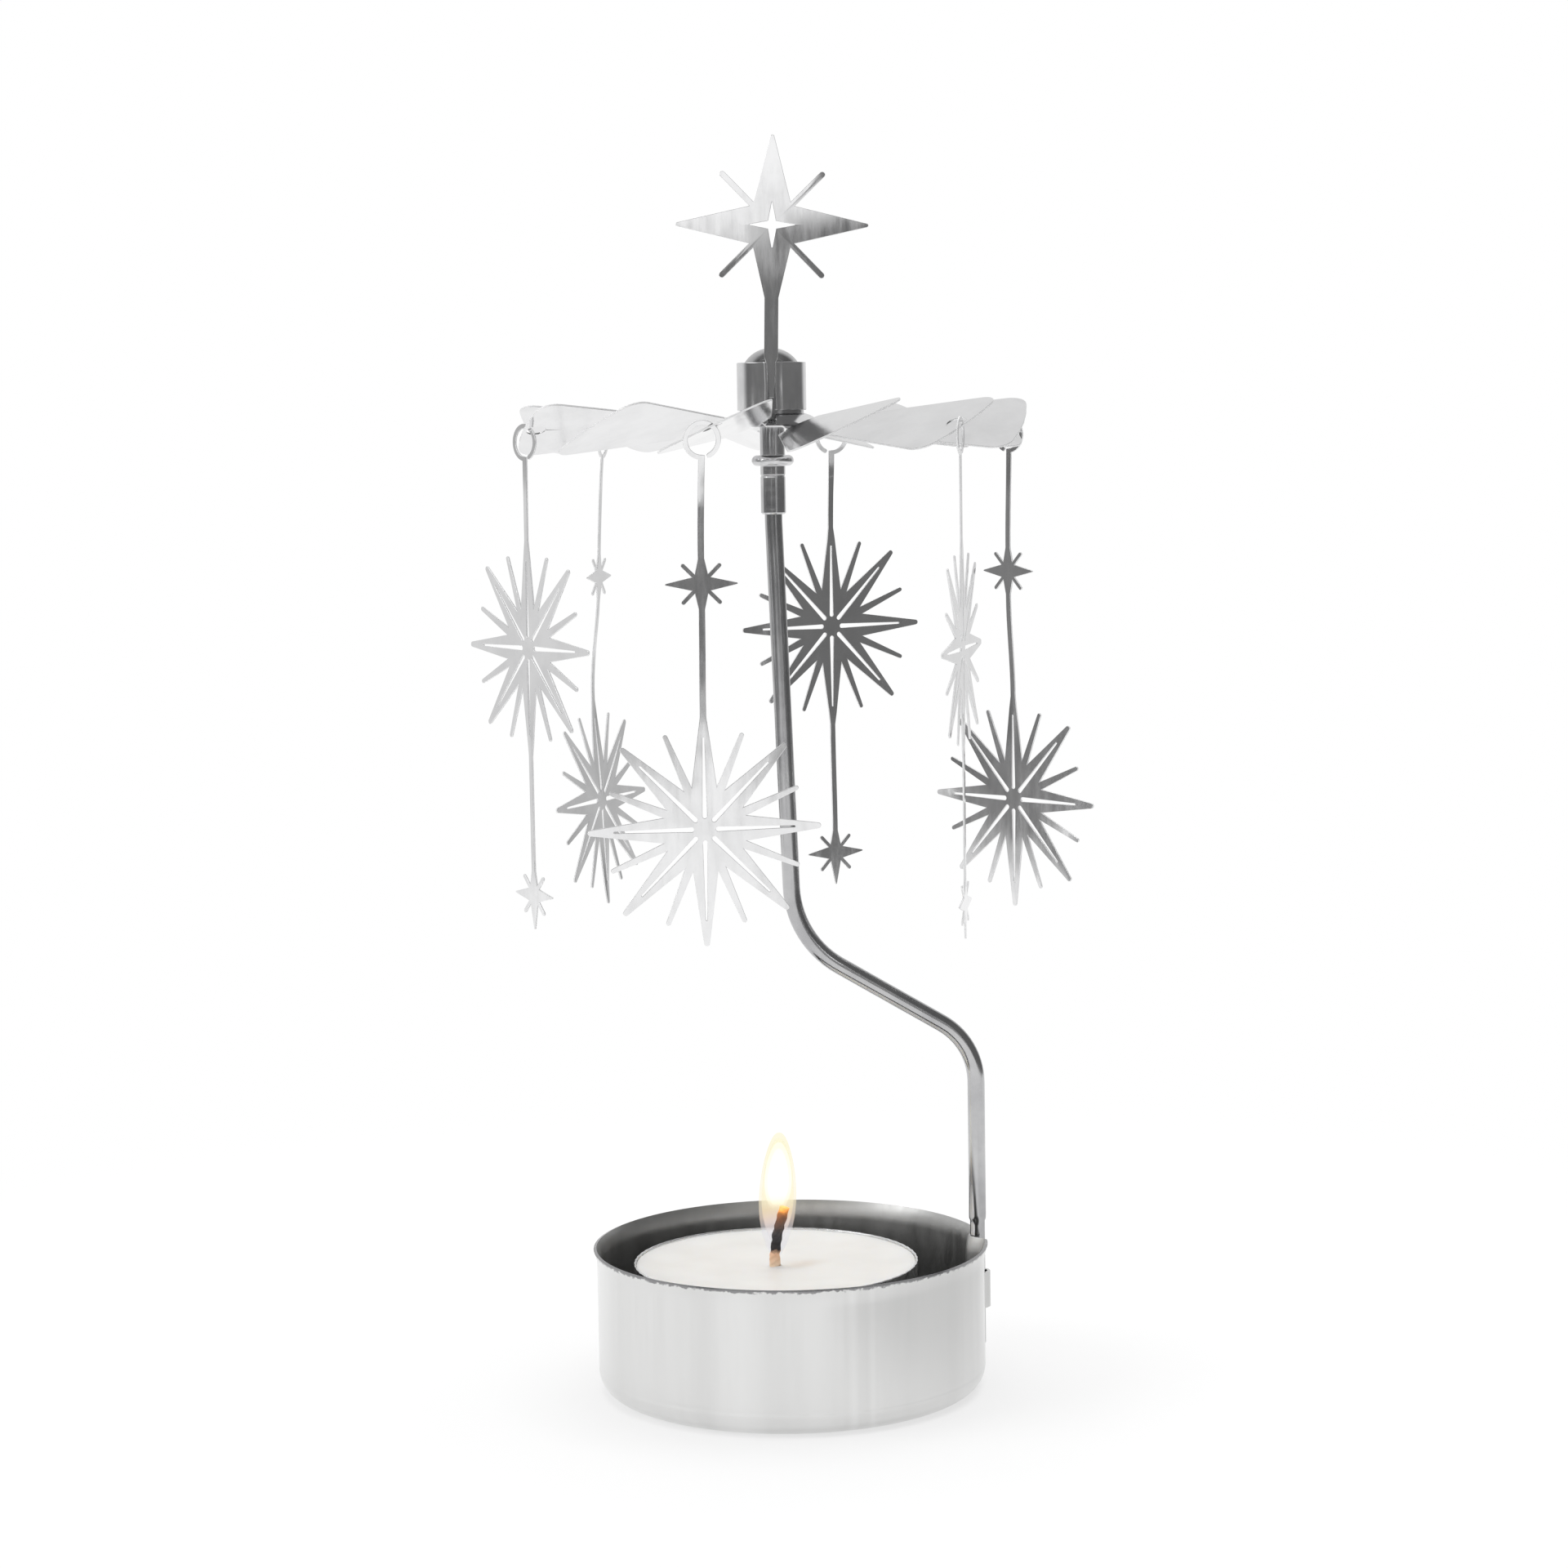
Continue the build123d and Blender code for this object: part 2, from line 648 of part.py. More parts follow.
tealight_wax.part.label = "tealight_wax"
export_step(tealight_wax.part, "parts/tealight_wax.step")

# Wick: a straight cord in the wax that leans over above it
wick_foot = clip_foot + clip_sheet
wick_bend = wax_top + wick_diameter / 2
with BuildPart() as tealight_wick:
    with BuildLine(candle_section) as wick_route:
        Line((0, wick_foot), (0, wick_bend))
        wick_arc = CenterArc((wick_bend_radius, wick_bend), wick_bend_radius, 180, -wick_lean)
        wick_end_length = wick_stand - (wick_bend - wax_top) - wick_bend_radius * radians(wick_lean)
        PolarLine(wick_arc @ 1, wick_end_length, 90 - wick_lean)
    with BuildSketch(Plane(origin=(candle_x, candle_y, wick_foot))) as wick_section:
        Circle(wick_radius)
    sweep()
tealight_wick.part.label = "tealight_wick"
export_step(tealight_wick.part, "parts/tealight_wick.step")
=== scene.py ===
import json
from math import asin, atan, atan2, copysign, cos, degrees, exp, pi, radians, sin, sqrt, tan

import bmesh
import bpy
from mathutils import Matrix, Vector, noise
from mathutils.geometry import intersect_line_line_2d


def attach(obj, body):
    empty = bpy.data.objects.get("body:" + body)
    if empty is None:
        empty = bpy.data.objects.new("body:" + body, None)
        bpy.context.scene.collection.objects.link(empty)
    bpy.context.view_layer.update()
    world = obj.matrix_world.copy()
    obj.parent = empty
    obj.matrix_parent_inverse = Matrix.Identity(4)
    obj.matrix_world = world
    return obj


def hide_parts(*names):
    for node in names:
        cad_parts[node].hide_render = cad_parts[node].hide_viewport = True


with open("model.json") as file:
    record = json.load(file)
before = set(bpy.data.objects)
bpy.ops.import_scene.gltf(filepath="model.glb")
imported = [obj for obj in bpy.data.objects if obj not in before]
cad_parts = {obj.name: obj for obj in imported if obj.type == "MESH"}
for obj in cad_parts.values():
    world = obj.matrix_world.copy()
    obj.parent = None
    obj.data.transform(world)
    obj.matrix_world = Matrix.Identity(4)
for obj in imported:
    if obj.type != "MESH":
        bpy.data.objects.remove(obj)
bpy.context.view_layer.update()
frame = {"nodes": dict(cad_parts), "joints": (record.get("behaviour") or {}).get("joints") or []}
nodes = frame["nodes"]
hinges = {joint["child"]: joint for joint in frame["joints"]}
mm = 0.001
print("frame loaded, nodes:", len(nodes))

scene = bpy.context.scene
scene.view_settings.view_transform = "Standard"

# camera at the photograph's viewing angle, metres and degrees
camera = {
    "place": (0.0001, -0.4523, 0.1267),
    "tiltDown": 5.78,
    "roll": -0.917,
    "focalShare": 2.1993,   # focal length as a share of the picture's width
    "sensor": 36.0,
    "clip": (0.01, 20),
}


def makeCamera(spec):
    data = bpy.data.cameras.new("photoCamera")
    data.sensor_width = spec["sensor"]
    data.lens = spec["sensor"] * spec["focalShare"]
    data.clip_start, data.clip_end = spec["clip"]
    cam = bpy.data.objects.new("photoCamera", data)
    scene.collection.objects.link(cam)
    tilt = Matrix.Rotation(radians(90 - spec["tiltDown"]), 4, "X")
    roll = Matrix.Rotation(radians(spec["roll"]), 4, "Z")
    cam.matrix_world = Matrix.Translation(spec["place"]) @ tilt @ roll
    scene.camera = cam


makeCamera(camera)
print("camera set")


# shader nodes: each value is a number or another node's output
def feed(tree, node, inputs):
    for name, value in inputs.items():
        socket = node.inputs[name]
        if isinstance(value, bpy.types.NodeSocket):
            tree.links.new(value, socket)
        else:
            socket.default_value = value


def addNode(tree, kind, inputs, **settings):
    made = tree.nodes.new("ShaderNode" + kind)
    for name, value in settings.items():
        setattr(made, name, value)
    feed(tree, made, inputs)
    return made


def addCoords(tree, kind="Object"):
    return addNode(tree, "TexCoord", {}).outputs[kind]


def addSplit(tree, place):
    return addNode(tree, "SeparateXYZ", {"Vector": place}).outputs


def addMath(tree, operation, *values):
    return addNode(tree, "Math", dict(enumerate(values)), operation=operation).outputs["Value"]


def addVector(tree, operation, output, *values):
    return addNode(tree, "VectorMath", dict(enumerate(values)), operation=operation).outputs[output]


def addRange(tree, value, low, high, toLow=0.0, toHigh=1.0, curve="LINEAR"):
    inputs = {"Value": value, "From Min": low, "From Max": high, "To Min": toLow, "To Max": toHigh}
    return addNode(tree, "MapRange", inputs, interpolation_type=curve).outputs["Result"]


def addFade(*values):
    return addRange(*values, curve="SMOOTHSTEP")


def addMix(tree, share, first, second, kind="FLOAT"):
    inputs = {"Factor": share, "A": first, "B": second}
    return addNode(tree, "Mix", inputs, data_type=kind).outputs["Result"]


def addTint(tree, share, colour, tint):
    return addMix(tree, share, colour, (*tint, 1), "RGBA")


def addNoise(tree, place, scale, detail, roughness=0.5):
    inputs = {"Vector": place, "Scale": scale, "Detail": detail, "Roughness": roughness}
    return addNode(tree, "TexNoise", inputs).outputs["Fac"]


def addMapping(tree, place, **moves):
    return addNode(tree, "Mapping", {"Vector": place, **moves}).outputs["Vector"]


def addBump(tree, height, depth, **under):
    inputs = {"Height": height, "Strength": 1, "Distance": depth, **under}
    return addNode(tree, "Bump", inputs).outputs["Normal"]


def addRamp(tree, fac, stops):
    stops = list(stops)
    ramp = addNode(tree, "ValToRGB", {"Fac": fac})
    points = ramp.color_ramp.elements
    while len(points) < len(stops):
        points.new(0.5)
    for point, (place, colour) in zip(points, stops):
        point.position = place
        point.color = (*colour, 1)
    return ramp.outputs["Color"]


# height of a place, frayed by fine speckles
def addFrayedHeight(tree, place, grain, fray):
    speckle = addNoise(tree, place, *grain)
    return addMath(tree, "ADD", addSplit(tree, place)["Z"], addRange(tree, speckle, 0, 1, -fray, fray))


def newMaterial(name):
    made = bpy.data.materials.new(name)
    made.use_nodes = True
    tree = made.node_tree
    return made, tree, tree.nodes["Principled BSDF"]


# the room that the plated sheet mirrors: white behind and above, dark near eye level towards the viewer;
# heights are given as the sine of the angle above eye level
room = {
    "white": 0.76,
    "whiteHigh": 0.82,              # well above or below eye level
    "whiteRise": (0.1, 0.5),        # between these heights it gets there
    "dark": 0.16,
    "darkHigh": 1.05,               # a window above the dark band
    "windowTop": (0.30, 0.44),      # it ends between these heights
    "windowFrom": (-0.5, -0.866),   # its middle
    "windowSide": (0.62, 0.76),     # and how far it reaches to the sides, as a cosine
    "band": (0.108, 0.142),         # the dark band ends between these heights
    "bandTilt": -0.45,              # lower on the left
    "bandTiltReach": 0.1,           # the tilt stops this far to the sides
    "strips": [154.8, 146.6],       # bearings of two narrow upright lights, in degrees from the back
    "stripHalf": (2.2, 1.0),        # half their width at the faint and at the full edge, degrees
    "stripLevel": 0.75,
    "ceiling": (0.80, 0.95),        # the ceiling starts and is full at these heights
    "ceilingLevel": 0.24,
    "whiteFrom": (-0.259, 0.966),   # direction of the middle of the white part, x and y
    "whiteEdge": (0.20, 0.66),      # dark below the first and white above the second, as a cosine
    "softLight": 0.62,              # level for everything that isn't a mirror
}


def makeRoom(spec):
    world = bpy.data.worlds.new("studio")
    scene.world = world
    world.use_nodes = True
    tree = world.node_tree
    ray = addCoords(tree, "Generated")
    split = addSplit(tree, ray)
    height = split["Z"]
    level = addVector(tree, "NORMALIZE", "Vector", addVector(tree, "MULTIPLY", "Vector", ray, (1, 1, 0)))

    def towards(place, bearing):
        return addVector(tree, "DOT_PRODUCT", "Value", place, (*bearing, 0))

    # the dark side with its window and lights
    limit = spec["bandTiltReach"]
    sideways = addNode(tree, "Clamp", {"Value": split["X"], "Min": -limit, "Max": limit}).outputs["Result"]
    leaned = addMath(tree, "MULTIPLY_ADD", sideways, spec["bandTilt"], height)
    sill = addFade(tree, leaned, *spec["band"])
    lintel = addFade(tree, height, *spec["windowTop"], 1.0, 0.0)
    jambs = addFade(tree, towards(level, spec["windowFrom"]), *spec["windowSide"])
    window = addMath(tree, "MULTIPLY", addMath(tree, "MULTIPLY", sill, lintel), jambs)
    front = addMix(tree, window, spec["dark"], spec["darkHigh"])
    stripEdges = [cos(radians(half)) for half in spec["stripHalf"]]
    for bearing in map(radians, spec["strips"]):
        along = towards(level, (sin(bearing), cos(bearing)))
        front = addMix(tree, addRange(tree, along, *stripEdges), front, spec["stripLevel"])
    # the white side and the ceiling
    tilt = addMath(tree, "ABSOLUTE", height)
    back = addRange(tree, tilt, *spec["whiteRise"], spec["white"], spec["whiteHigh"])
    walls = addMix(tree, addFade(tree, towards(ray, spec["whiteFrom"]), *spec["whiteEdge"]), front, back)
    mirrored = addMix(tree, addFade(tree, height, *spec["ceiling"]), walls, spec["ceilingLevel"])
    path = addNode(tree, "LightPath", {}).outputs
    mirrorRay = addMath(tree, "MAXIMUM", path["Is Glossy Ray"], path["Is Transmission Ray"])
    soft = addMix(tree, mirrorRay, spec["softLight"], mirrored)
    seen = addMix(tree, path["Is Camera Ray"], soft, 1.0)
    feed(tree, tree.nodes["Background"], {"Strength": seen, "Color": (1, 1, 1, 1)})


makeRoom(room)


# object with the mesh that was built, which is used up
def addObject(bm, name):
    mesh = bpy.data.meshes.new(name)
    bm.to_mesh(mesh)
    bm.free()
    made = bpy.data.objects.new(name, mesh)
    scene.collection.objects.link(made)
    return made


def moveAll(bm, move):
    bmesh.ops.translate(bm, vec=move, verts=bm.verts)


# white table top, metres
table = {
    "corner": (-0.52, -1.12),
    "farCorner": (0.42, 2.0),
    "shadow": 0.42,                  # share of the shaded surface that shows through the plain white
    "plain": (0.07, 0.20),           # the shading fades out between these distances from the object
    "mirrorFade": (0.012, 0.075),    # in mirrors the table is greyer to the right of these places
    "mirrorGrey": 0.58,
    "mirrorNear": (0.10, 0.17),      # and only this near the object
    "tint": (0.93, 0.93, 0.93, 1),
    "paleTint": (0.95, 0.95, 0.95),
    "grain": (6, 4),                 # noise scale and detail
    "roughness": 0.9,
}


def makeTable(spec):
    bm = bmesh.new()
    bmesh.ops.create_grid(bm, x_segments=2, y_segments=2, size=1)
    near, far = Vector(spec["corner"]), Vector(spec["farCorner"])
    bmesh.ops.scale(bm, vec=(*((far - near) / 2), 1), verts=bm.verts)
    moveAll(bm, (*((far + near) / 2), 0))
    floor = addObject(bm, "table")
    made, tree, shader = newMaterial("tableWhite")
    place = addCoords(tree)
    tint = addTint(tree, addNoise(tree, place, *spec["grain"]), spec["tint"], spec["paleTint"])
    feed(tree, shader, {"Base Color": tint, "Roughness": spec["roughness"], "Specular IOR Level": 0.0})
    # rays that see the table meet a plain white away from the object
    path = addNode(tree, "LightPath", {}).outputs
    direct = addMath(tree, "MAXIMUM", path["Is Camera Ray"], path["Is Glossy Ray"])
    anyRay = addMath(tree, "MAXIMUM", direct, path["Is Transmission Ray"])
    away = addVector(tree, "LENGTH", "Value", place)
    share = addMath(tree, "MULTIPLY", anyRay, addFade(tree, away, *spec["plain"], 1 - spec["shadow"], 1.0))
    greyer = addFade(tree, addSplit(tree, place)["X"], *spec["mirrorFade"], 1.0, spec["mirrorGrey"])
    close = addFade(tree, away, *spec["mirrorNear"], 1.0, 0.0)
    inMirror = addMath(tree, "MULTIPLY", path["Is Glossy Ray"], close)
    light = {"Color": (1, 1, 1, 1), "Strength": addMix(tree, inMirror, 1.0, greyer)}
    glow = addNode(tree, "Emission", light).outputs["Emission"]
    blend = addNode(tree, "MixShader", {0: share, 1: shader.outputs["BSDF"], 2: glow})
    feed(tree, tree.nodes["Material Output"], {"Surface": blend.outputs["Shader"]})
    floor.data.materials.append(made)


makeTable(table)

# soft lamps: name, place, width in metres, watts, seen in mirrors
lamps = [
    ("overhead", (0.1, 0.1, 0.9), 0.9, 5.0, False),
    ("leftSide", (-0.8, -0.2, 0.5), 0.6, 2.2, True),
]
lampAim = (0, 0, 0.07)


def makeLamps(rows):
    for name, place, width, watts, mirrored in rows:
        data = bpy.data.lights.new(name, "AREA")
        data.size = width
        data.energy = watts
        lamp = bpy.data.objects.new(name, data)
        scene.collection.objects.link(lamp)
        aim = (Vector(lampAim) - Vector(place)).to_track_quat("-Z", "Y")
        lamp.matrix_world = Matrix.Translation(place) @ aim.to_matrix().to_4x4()
        lamp.visible_glossy = mirrored


makeLamps(lamps)
print("stage set")

# plated and bare sheet finishes, one row each; scales are per metre, depths in metres
finishColumns = ("tint", "stain", "patch", "rough", "grain", "grainDepth", "wave", "waveDepth", "metal")
finishes = {
    "panPlate": ((0.735, 0.735, 0.73), (0.69, 0.69, 0.685), (150, 150, 6), (0.13, 0.24),
                 (500, 500, 60), 3e-6, (160, 160, 5), 8e-6, 1.0),
    # the inside: a darker copy of the pan plate, painted shade for the deep inside; its rougher finish is
    # its own
    "panInsideShaded": ((0.60, 0.60, 0.595), (0.52, 0.52, 0.515), (90, 90, 30), (0.30, 0.46),
                  (600, 600, 90), 5e-6, (120, 120, 40), 2e-5, 1.0),
    "wirePlate": ((0.56, 0.56, 0.565), (0.44, 0.44, 0.45), (120, 120, 120), (0.10, 0.22),
                  (900, 900, 40), 6e-6, (200, 200, 200), 2e-5, 1.0),
    "turnedPlate": ((0.70, 0.70, 0.705), (0.56, 0.56, 0.57), (260, 260, 260), (0.09, 0.20),
                    (60, 60, 1500), 4e-6, (300, 300, 300), 1e-5, 1.0),
    "hubPlate": ((0.86, 0.86, 0.865), (0.74, 0.74, 0.75), (220, 220, 220), (0.08, 0.18),
                 (700, 700, 80), 3e-6, (260, 260, 260), 2e-5, 1.0),
    # the dome: a darker copy of the hub plate, painted dark reflection
    "capPlateShaded": ((0.52, 0.52, 0.525), (0.42, 0.42, 0.425), (220, 220, 220), (0.10, 0.22),
                 (700, 700, 80), 3e-6, (260, 260, 260), 2e-5, 1.0),
    "wheelPlate": ((0.80, 0.80, 0.805), (0.73, 0.73, 0.735), (150, 150, 150), (0.07, 0.16),
                   (900, 120, 900), 2e-6, (110, 110, 110), 3e-5, 1.0),
    "starPlate": ((0.86, 0.86, 0.865), (0.78, 0.78, 0.785), (180, 180, 180), (0.06, 0.17),
                  (900, 900, 150), 2e-6, (130, 130, 130), 3e-5, 1.0),
    "cutEdge": ((0.86, 0.86, 0.865), (0.78, 0.78, 0.785), (300, 300, 300), (0.50, 0.68),
                (900, 900, 900), 6e-6, (130, 130, 130), 2e-5, 0.25),
    "cupFoil": ((0.84, 0.845, 0.85), (0.74, 0.745, 0.75), (120, 120, 120), (0.20, 0.36),
                (500, 500, 50), 6e-6, (180, 180, 180), 3e-5, 1.0),
    "clipTin": ((0.66, 0.66, 0.67), (0.52, 0.50, 0.48), (300, 300, 300), (0.24, 0.40),
                (700, 700, 700), 5e-6, (300, 300, 300), 2e-5, 1.0),
}


# for every metal: noise detail and roughness, and the noise levels at both ends of a change
metalNoise = {"patch": (5, 0.6), "grain": (6, 0.65), "wave": (1, 0.5)}
stainLevels = (0.32, 0.6)
roughLevels = (0.3, 0.75)


def makeMetal(name, spec):
    made, tree, shader = newMaterial(name)
    place = addCoords(tree)
    patches, grain, wave = [
        addNoise(tree, addMapping(tree, place, Scale=spec[kind]), 1, *look)
        for kind, look in metalNoise.items()]
    swell = addBump(tree, wave, spec["waveDepth"])
    feed(tree, shader, {
        "Base Color": addRamp(tree, patches, zip(stainLevels, (spec["stain"], spec["tint"]))),
        "Roughness": addRange(tree, grain, *roughLevels, *spec["rough"]),
        "Normal": addBump(tree, grain, spec["grainDepth"], Normal=swell),
        "Metallic": spec["metal"],
    })
    return made


metals = {name: makeMetal(name, dict(zip(finishColumns, row))) for name, row in finishes.items()}
print("metals made:", len(metals))


def only(kind, parts):
    return [part for part in parts if isinstance(part, kind)]


def vertsOf(edges):
    return list(dict.fromkeys(vert for edge in edges for vert in edge.verts))


# open line through the points, as its vertices and edges
def addLine(bm, points):
    verts = [bm.verts.new(point) for point in points]
    return verts, [bm.edges.new(pair) for pair in zip(verts, verts[1:])]


# edges extruded in place: the new vertices and the new edges between them
def growEdges(bm, edges):
    grown = bmesh.ops.extrude_edge_only(bm, edges=edges)["geom"]
    verts = only(bmesh.types.BMVert, grown)
    fresh = set(verts)
    return verts, [edge for edge in only(bmesh.types.BMEdge, grown) if set(edge.verts) <= fresh]


# parts swept round an axis, which gives back the parts at the end
def sweep(bm, parts, angle, steps, cent=(0, 0, 0), axis=(0, 0, 1), merge=False):
    swept = bmesh.ops.spin(bm, geom=parts, cent=cent, axis=axis, angle=angle, steps=steps, use_merge=merge)
    return swept["geom_last"]


def turnVerts(bm, verts, angle, axis="Z"):
    bmesh.ops.rotate(bm, verts=verts, cent=(0, 0, 0), matrix=Matrix.Rotation(angle, 3, axis))


# rows of new points where the mesh crosses planes square to an axis
def addRows(bm, axis, places):
    for place in places:
        parts = bm.verts[:] + bm.edges[:] + bm.faces[:]
        bmesh.ops.bisect_plane(bm, geom=parts, plane_co=Vector(axis) * place, plane_no=axis)


def joinInto(whole, part):
    carrier = bpy.data.meshes.new("carrier")
    part.to_mesh(carrier)
    whole.from_mesh(carrier)
    bpy.data.meshes.remove(carrier)
    part.free()


def closeSeams(bm, gap=0.002):
    bmesh.ops.remove_doubles(bm, verts=bm.verts, dist=gap)
    bmesh.ops.recalc_face_normals(bm, faces=bm.faces)


# a line of (radius, height) points turned round an upright axis
def turned(points, centre, steps):
    bm = bmesh.new()
    verts, edges = addLine(bm, [(radius, 0, height) for radius, height in points])
    sweep(bm, verts + edges, 2 * pi, steps, merge=True)
    closeSeams(bm)
    moveAll(bm, (*centre, 0))
    return bm


def arcPoints(centre, radius, fromTurn, toTurn, count):
    turns = [radians(fromTurn + (toTurn - fromTurn) * step / count) for step in range(count + 1)]
    return [(centre[0] + radius * cos(turn), centre[1] + radius * sin(turn)) for turn in turns]


def easeStep(low, high, value):
    share = min(1.0, max(0.0, (value - low) / (high - low)))
    return share * share * (3 - 2 * share)


def outwardAt(place):
    return Vector((place.x, place.y, 0)).normalized()


def shadeSmooth(mesh, sharp):
    mesh.shade_smooth()
    mesh.set_sharp_from_angle(angle=radians(sharp))


def softenEdges(piece, width, sharp):
    soften = piece.modifiers.new("softEdge", "BEVEL")
    soften.width = width * mm
    soften.segments = 2
    soften.limit_method = "ANGLE"
    soften.angle_limit = radians(sharp)
    soften.profile = 0.5
    soften.harden_normals = True


# bmesh in millimetres to a finished piece on its body; sheet is a wall's thickness, edge a bevel's width
def finishPiece(bm, name, body, material, replaced=(), sheet=0, sheetSide=0, inside=None, rim=None,
                edge=0, sharp=40, levels=0):
    bmesh.ops.scale(bm, vec=(mm, mm, mm), verts=bm.verts)
    piece = addObject(bm, name)
    mesh = piece.data
    shadeSmooth(mesh, sharp)
    mesh.materials.append(material)
    if sheet:
        wall = piece.modifiers.new("sheet", "SOLIDIFY")
        wall.thickness = sheet * mm
        wall.offset = sheetSide
        wall.use_even_offset = True
        if inside:
            mesh.materials.append(inside)
            wall.material_offset = 1
        if rim:
            mesh.materials.append(rim)
            wall.material_offset_rim = 1
    if levels:
        smooth = piece.modifiers.new("smooth", "SUBSURF")
        smooth.levels = levels
        smooth.render_levels = levels
    if edge:
        softenEdges(piece, edge, sharp)
    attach(piece, body)
    if replaced:
        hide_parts(*replaced)
    return piece


# candle pan with a dent for the wire and a strap across it
panSpec = {
    "wallRadius": 25.85,
    "height": 19.2,
    "sheet": 0.4,
    "corner": 3.0,
    "flare": 0.45,
    "flareHeight": 2.4,
    "bearing": 6.8,               # of the wire, in degrees from the right
    "dentDepth": 1.72,
    "dentHalf": 2.7,
    "dentFlat": 0.35,             # half of the dent's level part
    "dentFloor": (3.9, 4.45),
    "strap": (9.6, 14.4),
    "strapRise": 1.12,
    "strapHalf": 2.3,
    "strapFlat": 0.3,
    "strapEdge": 0.6,
    "floorRings": (0, 10, 18),
    "wallRows": (3.4, 4.05, 4.2, 4.35, 5.2, 6.6, 8.2, 12.0, 15.4),
    "fineHalf": 9.0,              # degrees of close steps either side of the wire
    "steps": (60, 150),           # close and wide steps
    "crease": 0.03,
    "creaseRise": 0.12,
    "rimBand": (18.9, 19.1),      # painted dark reflection along the rim; it starts between these heights
    "rimFray": 0.6,
    "rimSpeckle": (1400, 4),      # noise scale per metre and detail
    "rimTint": (0.28, 0.28, 0.285),
    "highlightStreaks": [(7.7, 1.0, 0.36), (10.2, 0.8, 0.26), (-6.5, 4.5, 0.4)],   # painted highlights, lighter upright bands on the plate: across, half width, share
    "highlightStreakTint": (0.84, 0.84, 0.835),
}


# painted light on the outer pan plate: lighter upright streaks as painted highlights, and a darker band
# along the rim as a painted dark reflection
def paintPanReflections(spec, made):
    tree = made.node_tree
    shader = tree.nodes["Principled BSDF"]
    colour = shader.inputs["Base Color"].links[0].from_socket
    place = addCoords(tree)
    sideways = addSplit(tree, place)["X"]
    # each streak is a painted highlight: the plate is made lighter in an upright band
    for across, half, share in spec["highlightStreaks"]:
        away = addMath(tree, "ABSOLUTE", addMath(tree, "SUBTRACT", sideways, across * mm))
        colour = addTint(tree, addFade(tree, away, 0, half * mm, share, 0), colour, spec["highlightStreakTint"])
    # painted dark reflection: the plate is darker along the top of the rim, with a frayed edge
    level = addFrayedHeight(tree, place, spec["rimSpeckle"], spec["rimFray"] * mm)
    paintedRimShade = addRange(tree, level, *[height * mm for height in spec["rimBand"]])
    feed(tree, shader, {"Base Color": addTint(tree, paintedRimShade, colour, spec["rimTint"])})


paintPanReflections(panSpec, metals["panPlate"])


def makePan(spec):
    radius = spec["wallRadius"]
    corner = spec["corner"]
    flareFoot = spec["height"] - spec["flareHeight"]
    flareRadius = (spec["flareHeight"] ** 2 + spec["flare"] ** 2) / (2 * spec["flare"])
    flareTurn = degrees(asin(spec["flareHeight"] / flareRadius))
    low, high = spec["strap"]
    floorLow, floorHigh = spec["dentFloor"]
    strapRows = (low, low + spec["strapEdge"], high - spec["strapEdge"], high)
    profile = [(ring, 0) for ring in spec["floorRings"]]
    profile += arcPoints((radius - corner, corner), corner, -90, 0, 9)
    profile += [(radius - spec["crease"], corner + spec["creaseRise"])]
    profile += [(radius, row) for row in sorted((*spec["wallRows"], *spec["dentFloor"], *strapRows))]
    profile += arcPoints((radius + flareRadius, flareFoot), flareRadius, 180, 180 - flareTurn, 6)
    bm = bmesh.new()
    verts, edges = addLine(bm, [(across, 0, up) for across, up in profile])
    fine = radians(spec["fineHalf"])
    bearing = radians(spec["bearing"])
    fineSteps, wideSteps = spec["steps"]
    turnVerts(bm, verts, bearing - fine)
    reached = sweep(bm, verts + edges, 2 * fine, fineSteps)
    sweep(bm, reached, 2 * (pi - fine), wideSteps)
    closeSeams(bm)
    wallFrom = spec["floorRings"][-1] + 2

    def arcFromWire(place):
        return (atan2(place.y, place.x) - bearing) * radius

    # the strap's two slits
    slits = [edge for edge in bm.edges if all(
        min(abs(vert.co.z - low), abs(vert.co.z - high)) < 0.01 and vert.co.xy.length > wallFrom
        and abs(arcFromWire(vert.co)) < spec["dentHalf"] for vert in edge.verts)]
    bmesh.ops.split_edges(bm, edges=slits)
    for vert in bm.verts:
        place = vert.co
        if place.xy.length < wallFrom or place.z < floorLow:
            continue
        away = abs(arcFromWire(place))
        if all(low < face.calc_center_median().z < high for face in vert.link_faces):
            move = spec["strapRise"] * (1 - easeStep(spec["strapFlat"], spec["strapHalf"], away))
        else:
            depth = spec["dentDepth"] * easeStep(floorLow, floorHigh, place.z)
            move = -depth * (1 - easeStep(spec["dentFlat"], spec["dentHalf"], away))
        place += outwardAt(place) * move
    # the inside walls take the darker copy, painted shade
    finishPiece(bm, "panShell", "base", metals["panPlate"], ["pan"], sheet=spec["sheet"],
                sheetSide=-1, inside=metals["panInsideShaded"], edge=0.09, sharp=38)


makePan(panSpec)
print("pan made")

# bent wire; the route runs in the upright plane through the axis and the leg
stemSpec = {
    "diameter": 2.3,
    "sides": 28,
    "legRadius": 25.35,
    "legBearing": 6.8,
    "foot": 4.5,
    "axisX": -0.7,
    "legTop": (45.5, 9.5),                                   # height of the leg's corner, bend radius
    "corners": [(1.8, 60.1, 13.0), (0.0, 115.4, 12.0)],      # reach from the axis, height, bend radius
    "top": 121.4,
    "bendSteps": 14,
    "slimTop": 21.6,                              # the leg is slimmer below this height
    "slimShare": 0.86,
    "slimRows": (-0.9, -0.3, 0, 0.5, 4),          # rows of points near that height
    "slimPinch": (-0.35, 0.1),                    # the width changes between these
}


